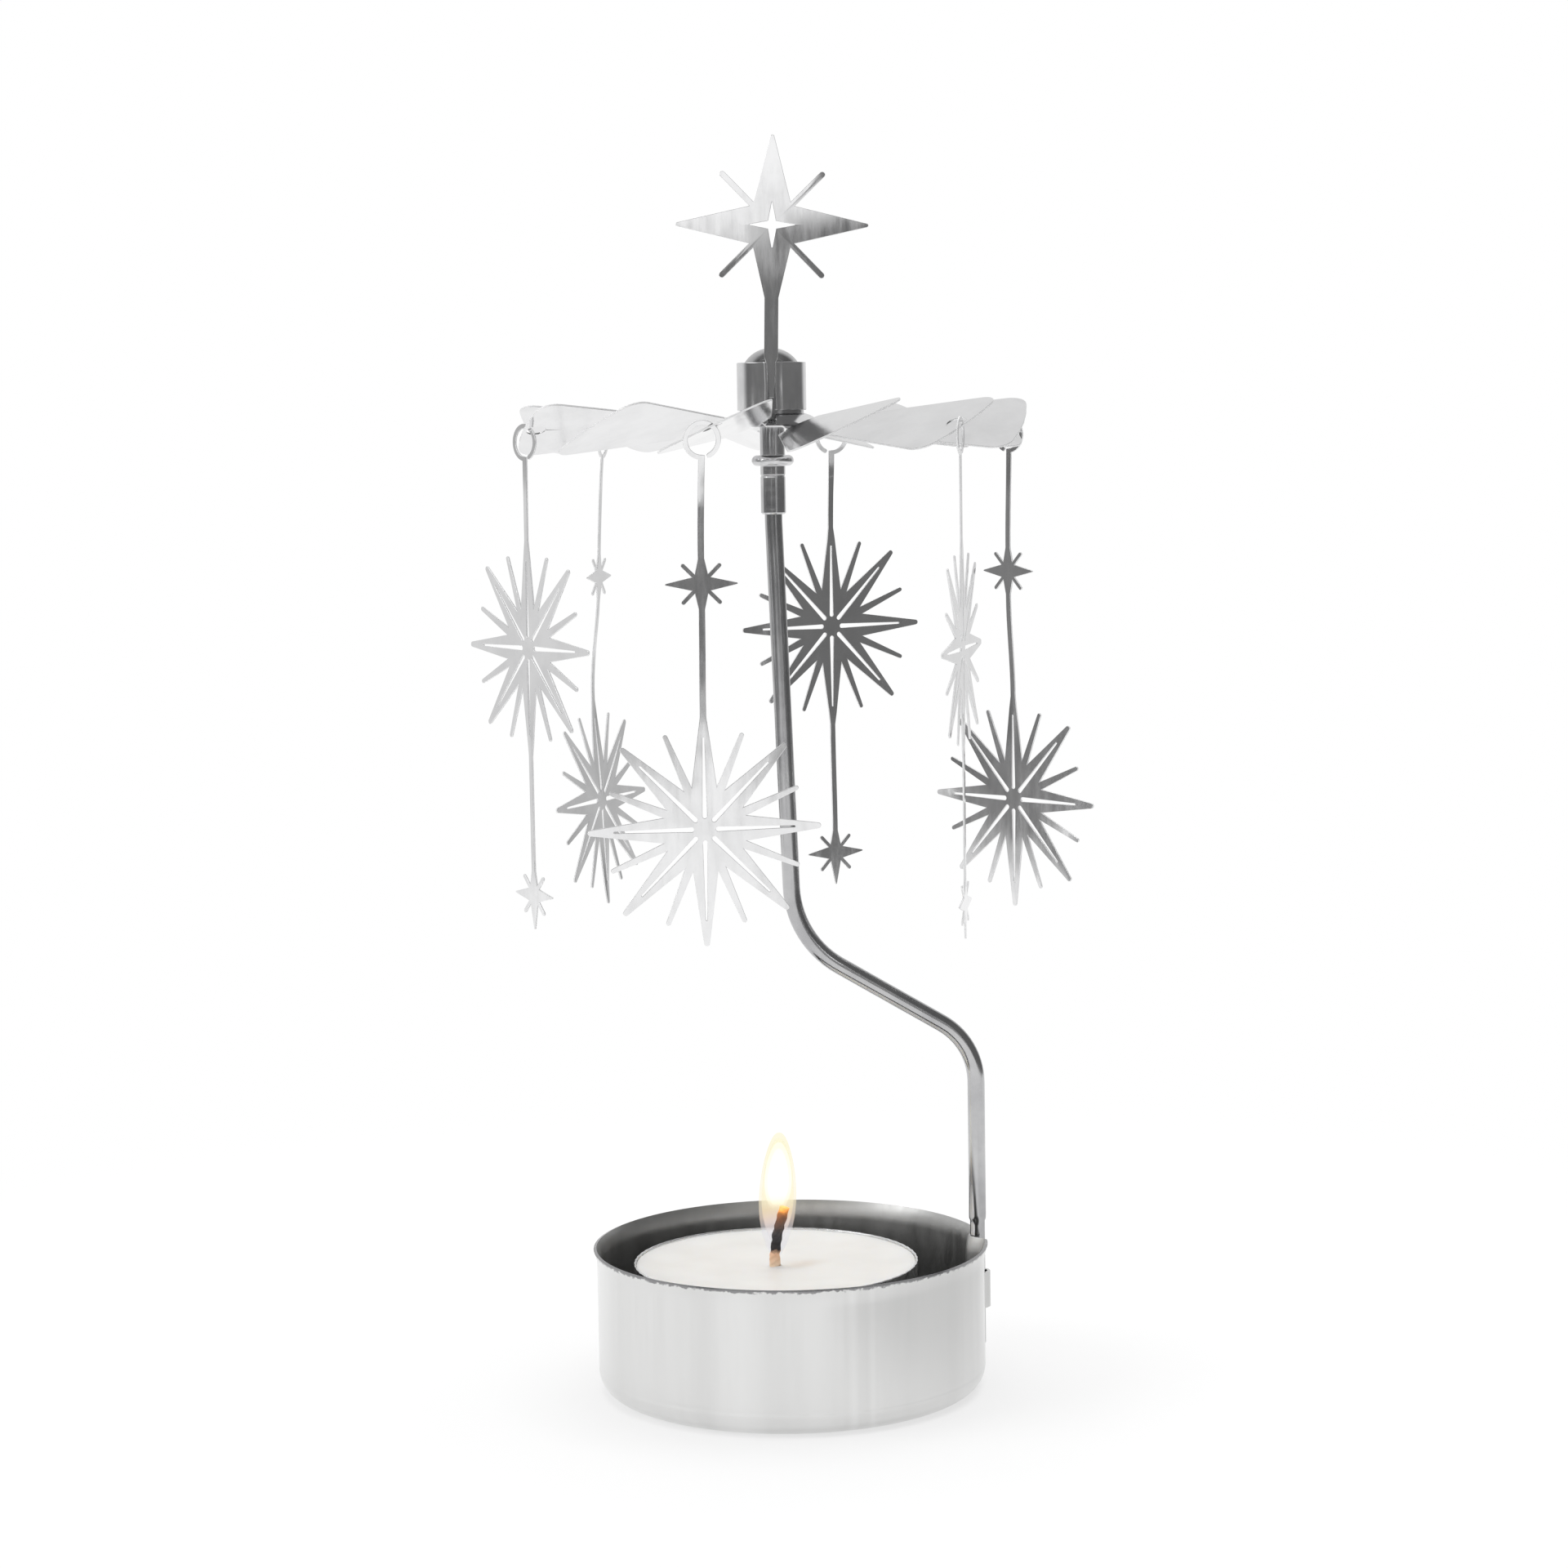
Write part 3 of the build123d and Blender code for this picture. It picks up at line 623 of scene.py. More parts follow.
def bentRod(route, bends, radius, sides, steps):
    bm = bmesh.new()
    ring = bmesh.ops.create_circle(bm, segments=sides, radius=radius, cap_ends=False)["verts"]
    bmesh.ops.translate(bm, vec=route[0], verts=ring)
    edges = bm.edges[:]
    bmesh.ops.contextual_create(bm, geom=edges)
    last = route[0]

    def pull(edges, move):
        verts, grown = growEdges(bm, edges)
        bmesh.ops.translate(bm, vec=move, verts=verts)
        return grown

    for before, corner, after, bend in zip(route, route[1:], route[2:], bends):
        into = (corner - before).normalized()
        out = (after - corner).normalized()
        angle = into.angle(out)
        tangent = bend * tan(angle / 2)
        inside = (out - into * into.dot(out)).normalized()
        start = corner - into * tangent
        edges = pull(edges, start - last)
        axis = into.cross(out).normalized()
        swept = sweep(bm, edges + vertsOf(edges), angle, steps, start + inside * bend, axis)
        edges = only(bmesh.types.BMEdge, swept)
        last = corner + out * tangent
    edges = pull(edges, route[-1] - last)
    bmesh.ops.contextual_create(bm, geom=edges)
    closeSeams(bm)
    return bm


def makeStem(spec):
    bearing = radians(spec["legBearing"])
    leg = Vector((spec["legRadius"] * cos(bearing), spec["legRadius"] * sin(bearing), 0))
    axis = Vector((spec["axisX"], 0, 0))
    corners = [((leg - axis).length, *spec["legTop"]), *spec["corners"]]
    outward = (leg - axis).normalized()
    route = [leg + Vector((0, 0, spec["foot"]))]
    route += [axis + outward * reach + Vector((0, 0, height)) for reach, height, bend in corners]
    route.append(axis + Vector((0, 0, spec["top"])))
    bends = [bend for reach, height, bend in corners]
    bm = bentRod(route, bends, spec["diameter"] / 2, spec["sides"], spec["bendSteps"])
    # slimmer leg with a short pinch where it meets the pan
    slimTop = spec["slimTop"]
    pinchLow, pinchHigh = spec["slimPinch"]
    addRows(bm, (0, 0, 1), [slimTop + row for row in spec["slimRows"]])
    for vert in bm.verts:
        slim = 1 - easeStep(slimTop + pinchLow, slimTop + pinchHigh, vert.co.z)
        middle = Vector((leg.x, leg.y, vert.co.z))
        if slim > 0:
            vert.co = middle + (vert.co - middle) * (1 - slim * (1 - spec["slimShare"]))
    finishPiece(bm, "stemRod", "stand", metals["wirePlate"], ["stem_wire"],
                edge=0.1, sharp=50)


makeStem(stemSpec)

# turned pivot: ferrule with its bead and groove
pivotSpec = {
    "axis": (-0.7, 0.0),
    "foot": 116.4,
    "length": 12.5,
    "radius": 1.625,
    "bore": 0.6,
    "beadMiddle": 123.4,
    "beadHalf": 0.7,
    "beadRadius": 2.75,
    "grooveMiddle": 121.4,
    "grooveHalf": 0.09,
    "grooveDepth": 0.06,
    "socketDepth": 5.0,
    "socketRadius": 1.15,
    "footChamfer": 0.2,
    "topChamfer": 0.4,
    "steps": 56,
}


def makePivot(spec):
    radius, bore, socket = spec["radius"], spec["bore"], spec["socketRadius"]
    foot = spec["foot"]
    top = foot + spec["length"]
    socketTop = foot + spec["socketDepth"]
    bead, half = spec["beadMiddle"], spec["beadHalf"]
    groove, step = spec["grooveMiddle"], spec["grooveHalf"]
    neck = radius - spec["grooveDepth"]
    footCut, topCut = spec["footChamfer"], spec["topChamfer"]
    profile = [(bore, socketTop), (socket, socketTop), (socket, foot), (radius - footCut, foot)]
    profile += [(radius, foot + footCut), (radius, groove - 2 * step), (neck, groove - step)]
    profile += [(neck, groove + step), (radius, groove + 2 * step), (radius, bead - half)]
    profile += arcPoints((spec["beadRadius"] - half, bead), half, -84, 84, 12)
    profile += [(radius, bead + half), (radius, top - topCut), (radius - topCut, top)]
    profile += [(bore, top), (bore, socketTop)]
    bm = turned(profile, spec["axis"], spec["steps"])
    finishPiece(bm, "pivotTube", "stand", metals["turnedPlate"], ["pivot_ferrule"],
                edge=0.06, sharp=30)


makePivot(pivotSpec)
print("stem and pivot made")

# domed bearing cap
capSpec = {"axis": (-0.7, 0.0), "radius": 4.15, "foot": 128.6, "top": 138.0, "sheet": 0.4, "steps": 72}


def makeCap(spec):
    shoulder = spec["top"] - spec["radius"]
    profile = [(spec["radius"], spec["foot"]), (spec["radius"], (spec["foot"] + shoulder) / 2)]
    profile += arcPoints((0, shoulder), spec["radius"], 0, 90, 14)
    bm = turned(profile, spec["axis"], spec["steps"])
    # the dome takes the darker copy, painted dark reflection
    finishPiece(bm, "bearingDome", "rotor", metals["capPlateShaded"], ["bearing_cap"],
                sheet=spec["sheet"], sheetSide=-1, edge=0.08)


makeCap(capSpec)

# rolled hub sleeve, open in front, with its two edges curled out beside the star's tang
sleeveSpec = {
    "axis": (-0.7, 0.0),
    "radius": 4.15,
    "sheet": 0.35,
    "foot": 129.9,
    "length": 6.2,
    "rows": 8,
    "steps": 84,
    "slitTurn": 13.2,      # where each curl starts, in degrees from the front
    "slitTop": 0.10,       # how much wider the slit is at its top and foot
    "slitFoot": -0.10,
    "slitReach": 1.6,      # how far to the sides the sheet gives way
    "curl": 0.52,
    "curlTurn": 110.0,
    "curlSteps": 7,
}


def makeSleeve(spec):
    bm = bmesh.new()
    rows = spec["rows"]
    radius = spec["radius"] + spec["sheet"] / 2
    heights = [spec["foot"] + spec["length"] * row / rows for row in range(rows + 1)]
    verts, edges = addLine(bm, [(0, -radius, height) for height in heights])
    slit = radians(spec["slitTurn"])
    turnVerts(bm, verts, slit)
    swept = sweep(bm, verts + edges, 2 * (pi - slit), spec["steps"])
    curl = radians(spec["curlTurn"])
    for side, lip in ((-1, only(bmesh.types.BMEdge, swept)), (1, edges)):
        pivot = outwardAt(lip[0].verts[0].co) * (radius + spec["curl"])
        sweep(bm, lip + vertsOf(lip), curl, spec["curlSteps"], pivot, (0, 0, side))
    closeSeams(bm)
    # the slit is wider at the top
    for vert in bm.verts:
        rise = (vert.co.z - spec["foot"]) / spec["length"]
        near = exp(-(vert.co.x / spec["slitReach"]) ** 2) if vert.co.y < 0 else 0
        shift = spec["slitFoot"] + (spec["slitTop"] - spec["slitFoot"]) * rise
        vert.co.x += copysign(shift, vert.co.x) * near
    moveAll(bm, (*spec["axis"], 0))
    finishPiece(bm, "hubBand", "rotor", metals["hubPlate"], ["hub_sleeve"],
                sheet=spec["sheet"], edge=0.1, sharp=45)


makeSleeve(sleeveSpec)
print("hub made")

# fan wheel: disc with a raised boss, twelve twisted necks, twelve blades
wheelSpec = {
    "axis": (-0.7, 0.0),
    "height": 127.82,
    "sheet": 0.24,
    "blades": 12,
    "firstBlade": 46.8,
    "pitch": 23.5,
    "discRadius": 8.2,
    "boss": [(4.15, 1.6), (5.0, 1.28), (6.4, 0.44), (7.1, 0.1), (7.6, 0)],   # radius, rise
    "neckLength": 2.4,
    "neckHalf": 1.2,
    "neckRows": (0.2, 0.4, 0.6, 0.8, 1.0),
    "shoulder": (0.5, 0.62),      # past the neck, and how much wider there
    "bladeRows": (0.2, 0.4, 0.6, 0.8),
    "radius": 33.2,
    "slit": 0.4,
    "corner": 2.4,
    "cornerSteps": 7,
    "stepsPerBlade": 11,
    "stepsPerNeck": 6,
    "holeRadius": 1.3,
    "holePlace": 31.5,
    "holeSides": 28,
    "drillLength": 3.0,
    "crown": 0.12,                # how far each blade bellies
    "crownFrom": 6.0,             # full this far out from the blade's start
    "edge": 0.05,
}


def growBlades(bm, spec):
    pitch = radians(spec["pitch"])
    half = pi / spec["blades"]
    rim = spec["discRadius"]
    root = rim + spec["neckLength"]
    inner = root + spec["neckLength"] / 2
    innerHalf = inner * tan(half) - spec["slit"] / 2
    tipTurn = half - spec["slit"] / 2 / spec["radius"]
    tip = spec["radius"] * cos(tipTurn)
    tipHalf = spec["radius"] * sin(tipTurn)
    ahead, wider = spec["shoulder"]
    # rows outward: reach, half width, share of the pitch
    rows = []
    for share in spec["neckRows"]:
        rows.append((rim + spec["neckLength"] * share, spec["neckHalf"], easeStep(0, 1, share)))
    rows += [(root + ahead, spec["neckHalf"] + wider, 1.0), (inner, innerHalf, 1.0)]
    for share in spec["bladeRows"]:
        rows.append((inner + (tip - inner) * share, innerHalf + (tipHalf - innerHalf) * share, 1.0))
    rows.append((spec["radius"], None, 1.0))
    turnStep = 2 * half / spec["stepsPerBlade"]
    halfSteps = spec["stepsPerNeck"] / 2
    for blade in range(spec["blades"]):
        middle = blade * 2 * half
        radial = Vector((cos(middle), sin(middle), 0))
        tangent = Vector((-sin(middle), cos(middle), 0))

        def across(vert):
            return atan2(vert.co.dot(tangent), vert.co.dot(radial)) / turnStep / halfSteps

        edges = [edge for edge in bm.edges if edge.is_boundary and all(
            abs(vert.co.xy.length - rim) < 0.01 and abs(across(vert)) < 1.03 for vert in edge.verts)]
        shares = {vert: across(vert) for vert in vertsOf(edges)}
        for reach, width, twist in rows:
            before = {vert.co.to_tuple(5): share for vert, share in shares.items()}
            verts, edges = growEdges(bm, edges)
            shares = {vert: before[vert.co.to_tuple(5)] for vert in verts}
            along = tangent * cos(pitch * twist) + Vector((0, 0, sin(pitch * twist)))
            lift = tangent * -sin(pitch * twist) + Vector((0, 0, cos(pitch * twist)))
            for vert, share in shares.items():
                if width is None:      # the round outer end
                    turn = tipTurn * share
                    vert.co = radial * reach * cos(turn) + along * reach * sin(turn)
                else:
                    crowned = easeStep(inner, inner + spec["crownFrom"], reach)
                    belly = spec["crown"] * (1 - share * share) * crowned
                    vert.co = radial * reach + along * width * share + lift * belly
        corners = [vert for vert, share in shares.items() if abs(share) > 0.9]
        bmesh.ops.bevel(bm, geom=corners, offset=spec["corner"], affect="VERTICES",
                        segments=spec["cornerSteps"], profile=0.5, material=-1)


# hook holes, cut through the finished sheet
def drillWheel(wheel, spec):
    drill = bmesh.new()
    hub = Matrix.Translation((*spec["axis"], spec["height"]))
    out = Matrix.Translation((spec["holePlace"], 0, 0))
    pitch = Matrix.Rotation(radians(spec["pitch"]), 4, "X")
    radius = spec["holeRadius"]
    holes = spec["blades"] // 2
    for hole in range(holes):
        turn = Matrix.Rotation(radians(spec["firstBlade"] - 90 + hole * 360 / holes), 4, "Z")
        bmesh.ops.create_cone(drill, cap_ends=True, segments=spec["holeSides"], radius1=radius,
                              radius2=radius, depth=spec["drillLength"], matrix=hub @ turn @ pitch @ out)
    bmesh.ops.scale(drill, vec=(mm, mm, mm), verts=drill.verts)
    drillBits = addObject(drill, "drill")
    cut = wheel.modifiers.new("hookHoles", "BOOLEAN")
    cut.object = drillBits
    cut.operation = "DIFFERENCE"
    cut.solver = "EXACT"
    bpy.context.view_layer.update()
    drilled = bpy.data.meshes.new_from_object(wheel.evaluated_get(bpy.context.evaluated_depsgraph_get()))
    wheel.modifiers.clear()
    wheel.data = drilled
    shadeSmooth(drilled, 40)
    bpy.data.objects.remove(drillBits)
    softenEdges(wheel, spec["edge"], 50)


def makeWheel(spec):
    disc = [*spec["boss"], (spec["discRadius"], 0)]
    bm = turned(disc, (0, 0), spec["blades"] * spec["stepsPerBlade"])
    growBlades(bm, spec)
    bmesh.ops.recalc_face_normals(bm, faces=bm.faces)
    turnVerts(bm, bm.verts, radians(spec["firstBlade"] - 90))
    moveAll(bm, (*spec["axis"], spec["height"]))
    wheel = finishPiece(bm, "bladeWheel", "rotor", metals["wheelPlate"], ["fan_wheel"],
                        sheet=spec["sheet"], rim=metals["cutEdge"], sharp=45)
    drillWheel(wheel, spec)


makeWheel(wheelSpec)
print("wheel made")


# where the ray is as wide as the strip that joins it
def joinPlace(ray, joinHalf):
    tipPlace = ray["reach"] - ray["tipHalf"]
    share = (ray["root"][1] - joinHalf) / (ray["root"][1] - ray["tipHalf"])
    return ray["root"][0] + (tipPlace - ray["root"][0]) * share


# half of one ray and half of the bar beside it, as (along, across) points round the sheet
def halfRay(ray, bar, inner, joinHalf=None):
    tipPlace = ray["reach"] - ray["tipHalf"]
    barTip = bar["reach"] - bar["tipHalf"]
    spin = Matrix.Rotation(radians(bar["turn"]), 2)
    edge = (Vector(ray["root"]), Vector((tipPlace, ray["tipHalf"])))
    barEdge = (spin @ Vector((bar["root"][0], -bar["root"][1])), spin @ Vector((barTip, -bar["tipHalf"])))
    outline = list(inner)
    if joinHalf is None:
        outline += arcPoints((tipPlace, 0), ray["tipHalf"], 0, 90, 4)
    else:
        joint = joinPlace(ray, joinHalf)
        outline += [(joint, 0), (joint, joinHalf)]
    outline.append(tuple(intersect_line_line_2d(*edge, *barEdge)))
    outline += [tuple(spin @ Vector(point)) for point in arcPoints((barTip, 0), bar["tipHalf"], -90, 0, 4)]
    return outline


# a flat star in the upright sheet plane: one outline for each ray, cut across so that it can bend
def addStar(whole, centre, outlines, cuts):
    for ray, outline in enumerate(outlines):
        part = bmesh.new()
        part.faces.new([part.verts.new((along, 0, side)) for along, side in outline])
        addRows(part, (1, 0, 0), cuts)
        half = part.verts[:] + part.edges[:] + part.faces[:]
        bmesh.ops.mirror(part, geom=half, axis="Z", merge_dist=0.001)
        turnVerts(part, part.verts, -2 * pi * ray / len(outlines), "Y")
        moveAll(part, (0, 0, centre))
        joinInto(whole, part)


# a strip that goes on from a row of points, through (height, half width) levels
def addStrip(whole, top, levels):
    part = bmesh.new()
    row, edges = addLine(part, top)
    for level, half in levels:
        fresh, edges = growEdges(part, edges)
        for vert in fresh:
            vert.co = (copysign(half, vert.co.x) if abs(vert.co.x) > 0.01 else 0, 0, level)
    joinInto(whole, part)


# how far a ray is bent out of its sheet, which differs from ray to ray
def rayLean(fromStar, bend, seed):
    sector = fromStar.normalized() * bend["spread"] + Vector((seed, 0, 0))
    return noise.noise(sector) * bend["depth"] * ((fromStar.length - bend["start"]) / bend["length"]) ** 2


# hanging star strips; drops are below the hook's middle, and a list has one value for each hanger,
# while values by number are for those hangers alone
hangerSpec = {
    "sheet": 0.24,
    "stripHalf": 0.4,
    "hookInner": 1.8,
    "hookOuter": 2.4,
    "hookEnd": -64.0,
    "hookSteps": 44,
    "hookSink": 0.05,                             # the strip's corner reaches this far into the ring
    "hookTip": ((0.14, 0.9), (0.12, 0.55)),       # rounded end: length and share of the width
    "hookYaws": [30.0, 30.0, 30.0, 30.0, 24.5, 30.0],
    "hookDepth": 1.0,
    "hookTilts": {4: 2.0, 6: -7.0},               # degrees that the hook leans back
    "hookTiltEnd": 17.0,
    "pitch": 22.5,
    "twist": (3.4, 8.4),
    "rowsBelow": (10.5, 12.5, 14.5),              # rows of points below the twist
    "bigRay": {"reach": 14.5, "tipHalf": 0.36, "root": (0.0, 2.27)},
    "bigBar": {"reach": 12.7, "tipHalf": 0.3, "root": (1.35, 0.675), "turn": 22.5},
    "bigCuts": (3.0, 6.5, 8.5, 10.5, 12.2),
    "slot": (1.35, 11.3, 0.29, 0.11),             # start, end and half width at both
    "smallRay": {"reach": 4.5, "tipHalf": 0.12, "root": (0.9, 0.9)},
    "smallBar": {"reach": 3.45, "tipHalf": 0.27, "root": (0.0, 0.27), "turn": 45.0},
    "smallCuts": (1.6, 3.0),
    "upperDrops": [26.4, 18.1, 26.4, 18.6, 26.4, 17.5],
    "lowerDrops": [58.4, 48.7, 58.4, 49.5, 58.4, 47.6],
    "starYaws": [30.8, 25.5, 44.5, 21.4, 18.6, 23.2],
    "upperTwists": {4: 3.8},                      # degrees more at the upper star
    "bows": {3: (0.3, 0.3), 4: (0.9, 0.8), 5: (0.1, 0.1)},      # out of the sheet's plane at each star
    "sags": {4: 0.7},                             # more bow halfway between the stars
    "shifts": {                                   # sideways and back, at the upper and the lower star
        2: ((-0.5, 0.0), (0.0, 0.0)), 3: ((-0.42, -0.2), (-0.3, -0.2)),
        4: ((0.0, 0.0), (-0.4, 0.0)), 6: ((-0.45, 0.0), (-0.55, 0.0)),
    },
    "hookShift": 0.5,                             # the hook's share of the upper star's shift
    "rayBend": {"depth": 0.24, "start": 3.0, "length": 11.0, "spread": 1.7},
    "raySeed": 3.1,
}


# hook ring, spun round from the top of the strip to its rounded end
def addHook(whole, spec):
    half, inner, outer = spec["stripHalf"], spec["hookInner"], spec["hookOuter"]
    part = bmesh.new()
    arm, bar = addLine(part, [(0, 0, -inner), (0, 0, -outer)])
    first = asin(half / outer)
    rest = 2 * pi - first - radians(90 + spec["hookEnd"])
    swept = sweep(part, arm + bar, first, 1, axis=(0, 1, 0))
    swept = sweep(part, swept, rest, spec["hookSteps"], axis=(0, 1, 0))
    tip = only(bmesh.types.BMEdge, swept)
    for length, share in spec["hookTip"]:
        fresh, tip = growEdges(part, tip)
        middle = (fresh[0].co + fresh[1].co) / 2
        ahead = Vector((middle.z, 0, -middle.x)).normalized()
        for vert in fresh:
            vert.co = middle + ahead * length + (vert.co - middle) * share
    part.faces.new([part.verts.new(corner) for corner in (
        (0, 0, -inner), (half, 0, -inner - spec["hookSink"]), (half, 0, -outer), (0, 0, -outer))])
    joinInto(whole, part)


# a curve through the hook and both stars, and the hook's own lean
def stripBow(spec, number, drop):
    upperDrop, lowerDrop = spec["upperDrops"][number - 1], spec["lowerDrops"][number - 1]
    upperBow, lowerBow = spec["bows"].get(number, (0, 0))
    fall = max(0, drop)
    bow = upperBow * fall * (fall - lowerDrop) / (upperDrop * (upperDrop - lowerDrop))
    bow += lowerBow * fall * (fall - upperDrop) / (lowerDrop * (lowerDrop - upperDrop))
    between = min(1, max(0, (fall - upperDrop) / (lowerDrop - upperDrop)))
    bow += spec["sags"].get(number, 0) * sin(pi * between) ** 2
    tilt = tan(radians(spec["hookTilts"].get(number, 0)))
    rest = 1 - min(1, fall / spec["hookTiltEnd"])
    return bow + tilt * (spec["hookTiltEnd"] * (0.5 - rest ** 3) / 3 + min(0, drop))


def makeHanger(spec, number):
    starFirst = number % 2 == 1
    half = spec["stripHalf"]
    outer = spec["hookOuter"]
    start, end, startHalf, endHalf = spec["slot"]
    slot = [(0, 0)] + arcPoints((start + startHalf, 0), startHalf, 180, 90, 4)
    slot += arcPoints((end - endHalf, 0), endHalf, 90, 0, 3)
    big = [halfRay(spec["bigRay"], spec["bigBar"], slot)] * 8
    small = [halfRay(spec["smallRay"], spec["smallBar"], [(0, 0)])] * 4
    joinedBig = halfRay(spec["bigRay"], spec["bigBar"], slot, half)
    joinedSmall = halfRay(spec["smallRay"], spec["smallBar"], [(0, 0)], half)
    bigReach = joinPlace(spec["bigRay"], half)
    smallReach = joinPlace(spec["smallRay"], half)
    drops = [spec["upperDrops"][number - 1], spec["lowerDrops"][number - 1]]
    bigDrop, smallDrop = drops if starFirst else reversed(drops)
    upperReach, lowerReach = (bigReach, smallReach) if starFirst else (smallReach, bigReach)
    big[2], small[1] = joinedBig, joinedSmall
    if starFirst:
        big[6] = joinedBig
    else:
        small[3] = joinedSmall
    bm = bmesh.new()
    addStar(bm, -bigDrop, big, spec["bigCuts"])
    addStar(bm, -smallDrop, small, spec["smallCuts"])
    addHook(bm, spec)
    # the strip above and between the stars
    low, high = spec["twist"]
    nextDrop = drops[0] - upperReach
    rows = [low + (high - low) * step / 10 for step in range(11)]
    rows = [drop for drop in (*rows, *spec["rowsBelow"]) if drop < nextDrop - 0.3] + [nextDrop]
    top = [(-half, 0, -sqrt(outer * outer - half * half)), (0, 0, -outer), (half, 0, -outer)]
    addStrip(bm, top, [(-drop, half) for drop in rows])
    leave, arrive = drops[0] + upperReach, drops[1] - lowerReach
    rows = [leave + (arrive - leave) * step / 8 for step in range(9)]
    addStrip(bm, [(side, 0, -leave) for side in (-half, 0, half)], [(-drop, half) for drop in rows[1:]])
    closeSeams(bm)

    # slightly bent rays, a bowed strip, then the twist from the hook's plane to the stars'
    hinge = hinges[f"hanger_{number}"]
    seat = Vector(hinge["pos_m"]) / mm
    axis = Vector(hinge["axis"])
    angle = atan2(-axis.y, -axis.x)
    hookYaw = radians(spec["hookYaws"][number - 1])
    slope = atan(tan(radians(spec["pitch"])) * cos(hookYaw))
    hookTurn = angle + hookYaw
    starTurn = angle + radians(spec["starYaws"][number - 1])
    upperTwist = radians(spec["upperTwists"].get(number, 0))
    upperShift, lowerShift = map(Vector, spec["shifts"].get(number, ((0, 0), (0, 0))))
    hookAcross = Vector((cos(hookTurn), sin(hookTurn), 0))
    middle = seat + (hookAcross * sin(slope) - Vector((0, 0, cos(slope)))) * spec["hookDepth"]
    bend = spec["rayBend"]
    for vert in bm.verts:
        drop = -vert.co.z
        fromStar = Vector((vert.co.x, 0, vert.co.z + bigDrop))
        if bend["start"] < fromStar.length < spec["bigRay"]["reach"] + half and abs(vert.co.x) > half + 0.1:
            vert.co.y += rayLean(fromStar, bend, number * spec["raySeed"])
        settled = easeStep(leave, arrive, drop)
        shift = upperShift.lerp(lowerShift, settled)
        shift *= spec["hookShift"] + (1 - spec["hookShift"]) * easeStep(0, nextDrop, drop)
        turn = hookTurn + (starTurn + upperTwist * (1 - settled) - hookTurn) * easeStep(low, high, drop)
        across = Vector((cos(turn), sin(turn), 0))
        normal = Vector((sin(turn), -cos(turn), 0))
        bow = vert.co.y + stripBow(spec, number, drop)
        vert.co = middle + across * vert.co.x + normal * bow + Vector((*shift, vert.co.z))
    finishPiece(bm, f"starStrip{number}", f"hanger_{number}", metals["starPlate"],
                [f"star_hanger_{number}"], sheet=spec["sheet"], rim=metals["cutEdge"], edge=0.05, sharp=50)


for number in range(1, 7):
    makeHanger(hangerSpec, number)
print("hangers made")

# star on top, with its strip and the tang held by the sleeve
topperSpec = {
    "sheet": 0.26,
    "place": (-0.7, -4.39, 136.1),      # middle of the sheet at the sleeve's top
    "rise": 17.5,
    "lean": 1.3,
    "ray": {"reach": 12.4, "tipHalf": 0.25, "root": (2.49, 2.49)},
    "topRay": {"reach": 11.5, "tipHalf": 0.25, "root": (2.49, 2.49)},
    "bar": {"reach": 9.45, "tipHalf": 0.38, "root": (0.0, 0.38), "turn": 45.0},
    "cuts": (4.2, 6.0, 8.0, 10.0),
    "window": [(0.5, 0.5), (2.9, 0.05), (2.9, 0)],
    "stripHalf": 0.9,
    "stripRows": (0.75, 0.5, 0.25, 0.08),
    "stripFoot": 0.75,      # share of the width at the sleeve's top
    "tangStart": 0.25,
    "tangTop": 0.5,
    "tangEnd": 0.3,
    "tangLength": 4.6,
    "rayBend": {"depth": 0.24, "start": 3.0, "length": 9.0, "spread": 1.4},
    "raySeed": 7.3,
    "bendBelow": 8.0,       # no ray is bent further below the middle than this
    "backBend": 0.0018,
    "bendFrom": 5.0,
    "sideBend": 0.0016,
    "barTwist": 0.06,       # slope that the two right bars and the lower left one are bent by
    "barFrom": 4.0,
    "barHalf": 0.8,
}


